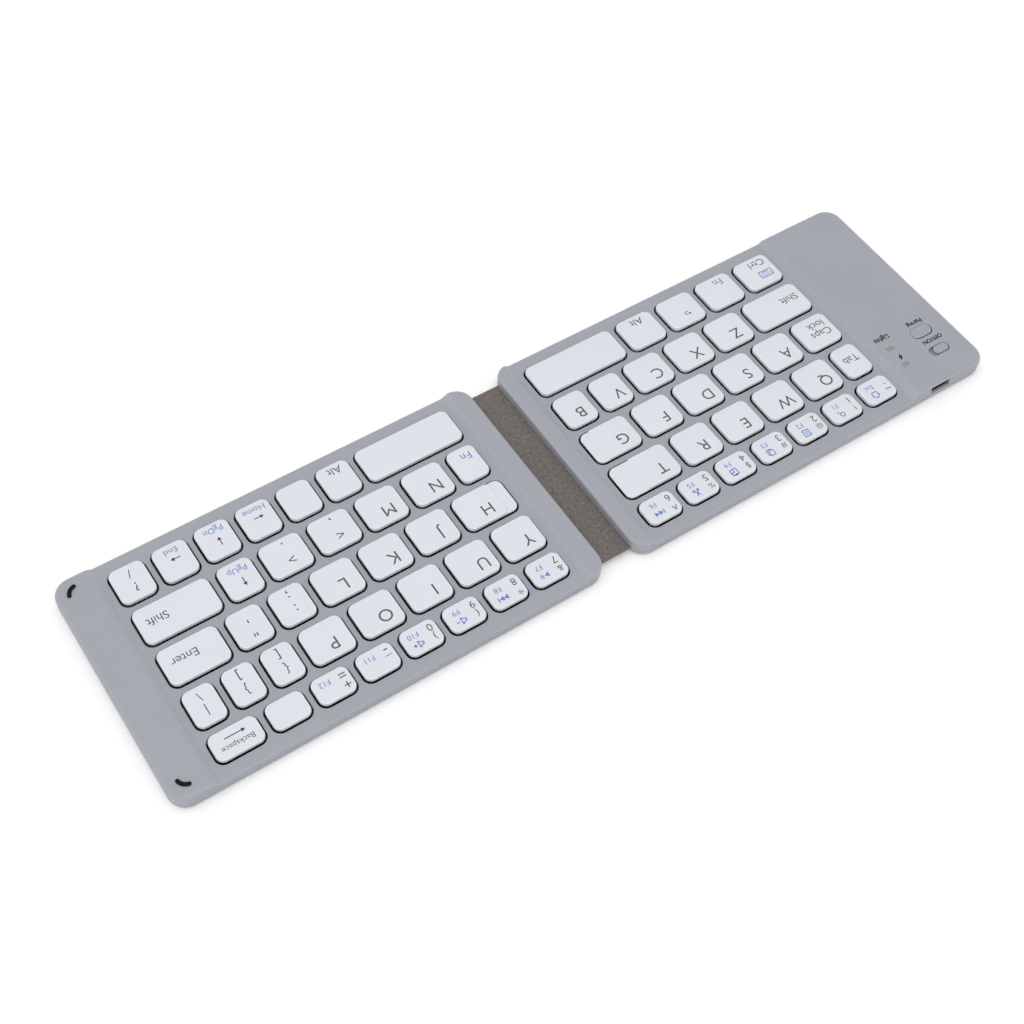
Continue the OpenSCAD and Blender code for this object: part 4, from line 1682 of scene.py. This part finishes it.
@dataclass
class FoldingStrip:
    """The fabric strip, in two sheets that meet in its middle."""

    wall: float = 5.6
    reach: float = 8.6
    length: float = 76.2
    low: float = 2.1
    high: float = 3.0
    still: float = 1.6
    columns: int = 30

    def build(self, side: Side) -> Piece:
        """Models one sheet of the strip.

        Args:
            side: The half that it runs into.

        Returns:
            The sheet, on its side of the strip's middle.
        """
        piece = block("sheet", (0.0, -self.length / 2, self.low), (self.reach, self.length / 2, self.high))
        slice_across(piece, [self.reach * i / self.columns for i in range(1, self.columns)])
        for sign in (-1, 1):
            edge = sign * self.length / 2
            soften(piece, lambda a, b, y=edge: facing(y)(a, b) and abs(a.z - b.z) < 0.01, 0.3, 3)
        set_on_side(piece, side, 0.0)
        piece.name = piece.data.name = f"fabric_strip_{side.word}"
        polish(piece)
        dress(piece, STRIP)
        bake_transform(piece)
        nodes = [f"strip_end_{side.word}"]
        nodes += ["strip_middle"] if side is Side.LEFT else []
        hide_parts(*nodes)
        return piece


@dataclass
class Controls:
    """What shows on the left platform: power slider, connect button, lamps, charging socket and prints."""

    case: Case
    control_u: float = 135.6
    slider_y: float = 30.3
    button_y: float = 21.1
    lamp_u: float = 121.2
    lamp_ys: Place = (21.5, 29.5)
    socket_u: float = 126.1
    slot: Place = (8.3, 3.9)
    button_slot: Place = (8.7, 5.0)
    lamp_gap: float = 0.03
    knob: Place = (6.0, 3.6)
    button: Place = (8.5, 4.8)
    knob_top: Place = (5.9, 3.35)
    knob_high: float = 6.42
    button_top: Place = (8.2, 4.45)
    button_high: float = 6.5
    lamp_high: float = 6.38
    lamp: Place = (2.8, 1.6)
    travel: float = 2.0
    foot: float = 4.6
    mouth: Place = (3.8, 2.5)
    mouth_low: float = 3.3
    mouth_run: Place = (35.7, 41.5)
    skin: float = 0.35
    blades: int = 5
    blade_pitch: float = 0.65
    platform: float = 6.4

    def _oval(self, name: str, middle: Place, size: Place, low: float, high: float) -> Piece:
        """Adds an upright oval, longer along u."""
        a, b = size[0] / 2, size[1] / 2
        corner = (middle[0] - a, middle[1] - b, low), (middle[0] + a, middle[1] + b, high)
        return tablet(name, *corner, b - 0.01, 9)

    def openings(self) -> list[Piece]:
        """Models the blocks that cut the left platform's openings.

        Returns:
            One block for each opening, in u and y.
        """
        cuts = [
            self._oval("cut", (self.control_u, self.slider_y), self.slot, 4.0, 8.0),
            self._oval("cut", (self.control_u, self.button_y), self.button_slot, 4.0, 8.0),
        ]
        for y in self.lamp_ys:
            a, b = self.lamp[0] / 2 + self.lamp_gap, self.lamp[1] / 2 + self.lamp_gap
            cuts.append(tablet("cut", (self.lamp_u - a, y - b, 4.0), (self.lamp_u + a, y + b, 8.0), 0.5, 4))
        cuts.append(block("cut", (self.socket_u - 4.05, 35.6, 3.25), (self.socket_u + 4.05, 44.0, 5.85)))
        return cuts

    def _finish(self, piece: Piece, body: str, node: str, slot: str, *finishes: Finish) -> Piece:
        """Sets a control on the left half, dresses it and hands it to its body."""
        set_on_side(piece, Side.LEFT, self.case.wall)
        polish(piece)
        dress(piece, *finishes)
        return hand_over(piece, body, slot, node)

    def build_slider(self) -> Piece:
        """Models the power knob with its grip ribs and the plate that it rides on."""
        middle = (self.control_u + self.travel / 2, self.slider_y)
        knob = self._oval("knob", (middle[0], middle[1] - 0.15), self.knob_top, self.foot, self.knob_high)
        soften(knob, level(self.knob_high), 0.3, 3)
        ribs = []
        for shift in (-1.2, 0.0, 1.2):
            u = middle[0] + shift
            rib = block("rib", (u - 0.22, middle[1] - 1.1, 6.3), (u + 0.22, middle[1] + 1.1, 6.5))
            soften(rib, level(6.5), 0.15, 2)
            ribs.append(rib)
        a, b = self.knob[0] / 2 + self.travel + 0.35, self.knob[1] / 2 + 0.7
        low, high = (middle[0] - a, middle[1] - b, self.foot), (middle[0] + a, middle[1] + b, self.foot + 0.5)
        piece = joined("power_knob", [knob, *ribs, tablet("plate", low, high, 0.5, 2)])
        return self._finish(piece, "power_slider", "power_slider", "case_grey", CASE)

    def build_button(self) -> Piece:
        """Models the connect button, slightly crowned, with its flange."""
        middle = (self.control_u, self.button_y)
        cap = self._oval("button", (middle[0], middle[1] - 0.2), self.button_top, self.foot, self.button_high)
        soften(cap, level(self.button_high), 0.25, 4)
        a, b = self.button[0] / 2 + 0.7, self.button[1] / 2 + 0.7
        low, high = (middle[0] - a, middle[1] - b, self.foot), (middle[0] + a, middle[1] + b, self.foot + 0.5)
        piece = joined("connect_cap", [cap, tablet("flange", low, high, 0.5, 2)])
        return self._finish(piece, "connect_button", "connect_button", "case_grey", CASE)

    def build_lamps(self) -> Piece:
        """Models the two status lenses with their rounded faces."""
        lenses = []
        for y in self.lamp_ys:
            a, b = self.lamp[0] / 2, self.lamp[1] / 2
            low, high = (self.lamp_u - a, y - b, 4.0), (self.lamp_u + a, y + b, self.lamp_high)
            lens = tablet("lens", low, high, 0.47, 4)
            soften(lens, level(self.lamp_high), 0.15, 2)
            lenses.append(lens)
        piece = joined("lamp_lenses", lenses)
        return self._finish(piece, Side.LEFT.body, "status_lamps", "lamp_lens", LENS)

    def _mouth(self, grow: float, back: float, front: float) -> Piece:
        """Models a tube with two cut lower corners, grown outwards by a thickness.

        Args:
            grow: How far its faces lie outside the mouth's own.
            back: Where it starts, along y.
            front: Where it ends.

        Returns:
            The tube, solid.
        """
        half, height = self.mouth
        low = (self.socket_u - half - grow, back, self.mouth_low - grow)
        high = (self.socket_u + half + grow, front, self.mouth_low + height + grow)
        tube = block("mouth", low, high)
        soften(tube, lambda a, b: level(low[2])(a, b) and abs(a.y - b.y) > 1.0, 0.9, 2)
        soften(tube, lambda a, b: min(a.z, b.z) > 5.0 and abs(a.y - b.y) > 1.0, 0.3, 3)
        return tube

    def build_socket(self) -> Piece:
        """Models the charging socket: a bent steel mouth with a contact tongue inside."""
        back, front = self.mouth_run
        inside = back + self.skin
        shell = self._mouth(0.0, back, front)
        cut_out(shell, self._mouth(-self.skin, inside, front + 1.0))
        soften(shell, facing(front), 0.06, 1)
        dress(shell, SOCKET)
        u, z = self.socket_u, self.mouth_low + self.mouth[1] / 2
        tongue = block("tongue", (u - 1.9, inside, z - 0.3), (u + 1.9, front - 1.0, z + 0.3))
        soften(tongue, facing(front - 1.0), 0.12, 2)
        dress(tongue, TONGUE)
        blades = []
        for i in range(self.blades):
            u = self.socket_u + (i - self.blades // 2) * self.blade_pitch
            blade = block("blade", (u - 0.16, inside, z - 0.36), (u + 0.16, front - 1.2, z - 0.28))
            soften(blade, level(z - 0.36), 0.03, 1)
            dress(blade, CONTACT)
            blades.append(blade)
        piece = joined("charging_socket", [shell, tongue, *blades])
        set_on_side(piece, Side.LEFT, self.case.wall)
        polish(piece)
        return hand_over(piece, Side.LEFT.body, "socket_steel", "usb_socket")

    def build_prints(self) -> Piece:
        """Prints the switch positions, the bolt and two generic words on the platform.

        Returns:
            All the prints as one piece.
        """
        printer = Printer(self.platform, bold=0.07)
        x, lamp = -self.case.wall - self.control_u, -self.case.wall - self.lamp_u
        prints = [
            printer.text("OFF/ON", x - 1.0, 25.75, 1.55, PRINT_DARK, Align.CENTER),
            printer.text("Pairing", x - 0.6, 16.9, 1.6, PRINT_DARK, Align.CENTER),
            printer.text("Lights", lamp - 0.4, 16.6, 1.8, PRINT_DARK, Align.CENTER),
            *printer.icon("bolt", lamp - 0.75, 25.7, 2.7, PRINT_DARK),
        ]
        return hand_over(joined("platform_prints", prints), Side.LEFT.body, "case_grey")


    def build_all(self) -> list[Piece]:
        """Models every control, lamp, socket and print of the platform."""
        built = [self.build_slider(), self.build_button(), self.build_lamps()]
        return [*built, self.build_socket(), self.build_prints()]


@dataclass
class CornerPads:
    """The two curved rubber pads on the right platform's corners."""

    case: Case
    inset: float = 7.3
    radius: float = 3.2
    stroke: float = 1.3
    thick: float = 0.4
    ends: Place = (12.0, 78.0)

    def _outline(self) -> list[Place]:
        """Walks round one pad: its outer arc, a round end, its inner arc and the other end."""
        half = self.stroke / 2
        start, end = (math.radians(a) for a in self.ends)
        points = []
        for reach, a, b in ((self.radius + half, start, end), (self.radius - half, end, start)):
            for i in range(15):
                angle = a + (b - a) * i / 14
                points.append((reach * math.cos(angle), reach * math.sin(angle)))
            middle = (self.radius * math.cos(b), self.radius * math.sin(b))
            first = b if b == end else b + math.pi
            for i in range(1, 10):
                angle = first + math.pi * i / 10
                points.append((middle[0] + half * math.cos(angle), middle[1] + half * math.sin(angle)))
        return points

    def _pad(self) -> Piece:
        """Models one pad round the origin.

        Returns:
            The pad, for the corner at +u and +y.
        """
        low, high = self.case.height - 0.02, self.case.height + self.thick
        outline = self._outline()
        settle()
        bpy.ops.mesh.primitive_circle_add(vertices=len(outline), radius=1.0, fill_type="NGON")
        pad = bpy.context.object
        for vertex, (x, y) in zip(pad.data.vertices, outline):
            vertex.co = Vector((x, y, low)) * MM
        with editing(pad, "FACE"):
            bpy.ops.mesh.select_all(action="SELECT")
            bpy.ops.mesh.extrude_region_move(TRANSFORM_OT_translate={"value": (0.0, 0.0, (high - low) * MM)})
            bpy.ops.mesh.select_all(action="SELECT")
            bpy.ops.mesh.normals_make_consistent(inside=False)
        soften(pad, level(high), 0.16, 3)
        return pad

    def build(self) -> Piece:
        """Models both pads.

        Returns:
            The pads as one piece.
        """
        first = self._pad()
        second = copied(first, "pad")
        mirrored(second, 1)
        u, y = self.case.length - self.inset, self.case.depth / 2 - self.inset
        first.data.transform(Matrix.Translation((u * MM, y * MM, 0.0)))
        second.data.transform(Matrix.Translation((u * MM, -y * MM, 0.0)))
        piece = joined("curved_pads", [first, second])
        set_on_side(piece, self.case.side, self.case.wall)
        polish(piece)
        dress(piece, RUBBER)
        return hand_over(piece, self.case.side.body, "black_rubber", "corner_pads")


@dataclass(frozen=True)
class Insides:
    """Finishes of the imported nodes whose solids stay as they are."""

    finishes: dict[str, Finish]

    def dress_all(self, nodes: dict[str, Piece]) -> None:
        """Gives each kept node its finish.

        Args:
            nodes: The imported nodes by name.
        """
        for name, finish in self.finishes.items():
            dress(nodes[name], finish)
            LOG.info("kept node %s in %s", name, finish.name)


@dataclass
class Studio:
    """Floor, light and camera."""

    lens: float = 55.458
    eye: Point = (185.28, 234.19, 414.82)
    right: Point = (-0.83435, 0.55012, 0.03505)
    down: Point = (0.43816, 0.70044, -0.56339)
    forward: Point = (-0.33448, -0.45470, -0.82545)
    sky: float = 0.80
    lamp: Point = (0.22, 0.1, 1.2)
    lamp_size: tuple[float, float] = (1.3, 1.0)
    power: float = 4.2
    glow: float = 0.16

    def add_camera(self) -> None:
        """Sets the camera where the photograph was taken from."""
        data = bpy.data.cameras.new("photo_view")
        data.lens = self.lens
        data.sensor_width = 36.0
        data.clip_start, data.clip_end = 0.01, 20.0
        camera = bpy.data.objects.new("photo_view", data)
        bpy.context.scene.collection.objects.link(camera)
        columns = [Vector(self.right), -Vector(self.down), -Vector(self.forward)]
        turn = Matrix(columns).transposed().to_4x4()
        camera.matrix_world = Matrix.Translation(Vector(self.eye) * MM) @ turn
        bpy.context.scene.camera = camera

    def _seen(self, wiring: Wiring) -> bpy.types.NodeSocket:
        """Makes a mask of the rays that come from the camera, straight, off a gloss or through glass."""
        path = wiring.add("ShaderNodeLightPath")
        gloss = wiring.add(
            "ShaderNodeMath",
            {"0": path.outputs["Is Camera Ray"], "1": path.outputs["Is Glossy Ray"]},
            operation="MAXIMUM",
        )
        both = wiring.add(
            "ShaderNodeMath",
            {"0": gloss.outputs[0], "1": path.outputs["Is Transmission Ray"]},
            operation="MAXIMUM",
        )
        return both.outputs[0]

    def add_floor(self) -> None:
        """Lays the pale floor that the keyboard stands on, white to the camera, with the shadow kept."""
        settle()
        bpy.ops.mesh.primitive_plane_add(size=8.0, location=(0.0, 0.0, 0.0))
        floor = bpy.context.object
        floor.name = "studio_floor"
        dress(floor, FLOOR)
        wiring = Wiring(floor.data.materials[0].node_tree)
        shader = wiring.tree.nodes["Principled BSDF"]
        glow = wiring.multiply(self._seen(wiring), self.glow)
        shader.inputs["Emission Color"].default_value = (1.0, 1.0, 1.0, 1.0)
        wiring.tree.links.new(glow, shader.inputs["Emission Strength"])

    def add_light(self) -> None:
        """Lights the scene evenly, with a soft lamp above the camera's side of the keyboard."""
        world = bpy.data.worlds.new("studio")
        bpy.context.scene.world = world
        world.use_nodes = True
        wiring = Wiring(world.node_tree)
        sky = world.node_tree.nodes["Background"]
        sky.inputs["Color"].default_value = (1.0, 1.0, 1.0, 1.0)
        path = wiring.add("ShaderNodeLightPath")
        strength = wiring.add(
            "ShaderNodeMapRange",
            {"Value": path.outputs["Is Camera Ray"], "To Min": self.sky, "To Max": 1.0},
        )
        wiring.tree.links.new(strength.outputs[0], sky.inputs["Strength"])
        lamp = bpy.data.lights.new("softbox", "AREA")
        lamp.shape = "RECTANGLE"
        lamp.size, lamp.size_y = self.lamp_size
        lamp.energy = self.power
        box = bpy.data.objects.new("softbox", lamp)
        bpy.context.scene.collection.objects.link(box)
        box.location = self.lamp
        box.rotation_euler = Vector(self.lamp).to_track_quat("Z", "Y").to_euler()
        bpy.context.scene.view_settings.view_transform = "Standard"


def main() -> None:
    """Builds the keyboard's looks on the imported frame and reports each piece."""
    logging.basicConfig(level=logging.INFO, format="%(message)s")
    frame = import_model()
    studio = Studio()
    studio.add_camera()
    studio.add_light()
    studio.add_floor()
    left, right = Case(Side.LEFT), Case(Side.RIGHT)
    controls = Controls(left)
    pieces = []
    for case in (left, right):
        shell = Shell(case)
        openings = controls.openings() if case is left else ()
        pieces += [shell.build_top(openings), shell.build_base(), shell.build_feet()]
        pieces += KeySet(case).build() + Switches(case).build(frame["nodes"])
    strip = FoldingStrip()
    sheets = [strip.build(side) for side in Side]
    pieces += [*sheets, *controls.build_all(), CornerPads(right).build()]
    for piece in pieces:
        LOG.info("%s: %d faces", piece.name, len(piece.data.polygons))
    Insides(
        {
            "ribbon_cable": RIBBON,
            "key_plate_left": PLATE,
            "key_plate_right": PLATE,
            "membrane_left": SHADE_FILM,
            "membrane_right": SHADE_FILM,
            "battery": FOIL,
            "main_board": BOARD,
            "magnets": MAGNET,
            "screws_left": SCREW,
            "screws_right": SCREW,
        }
    ).dress_all(frame["nodes"])


if __name__ == "__main__":
    main()
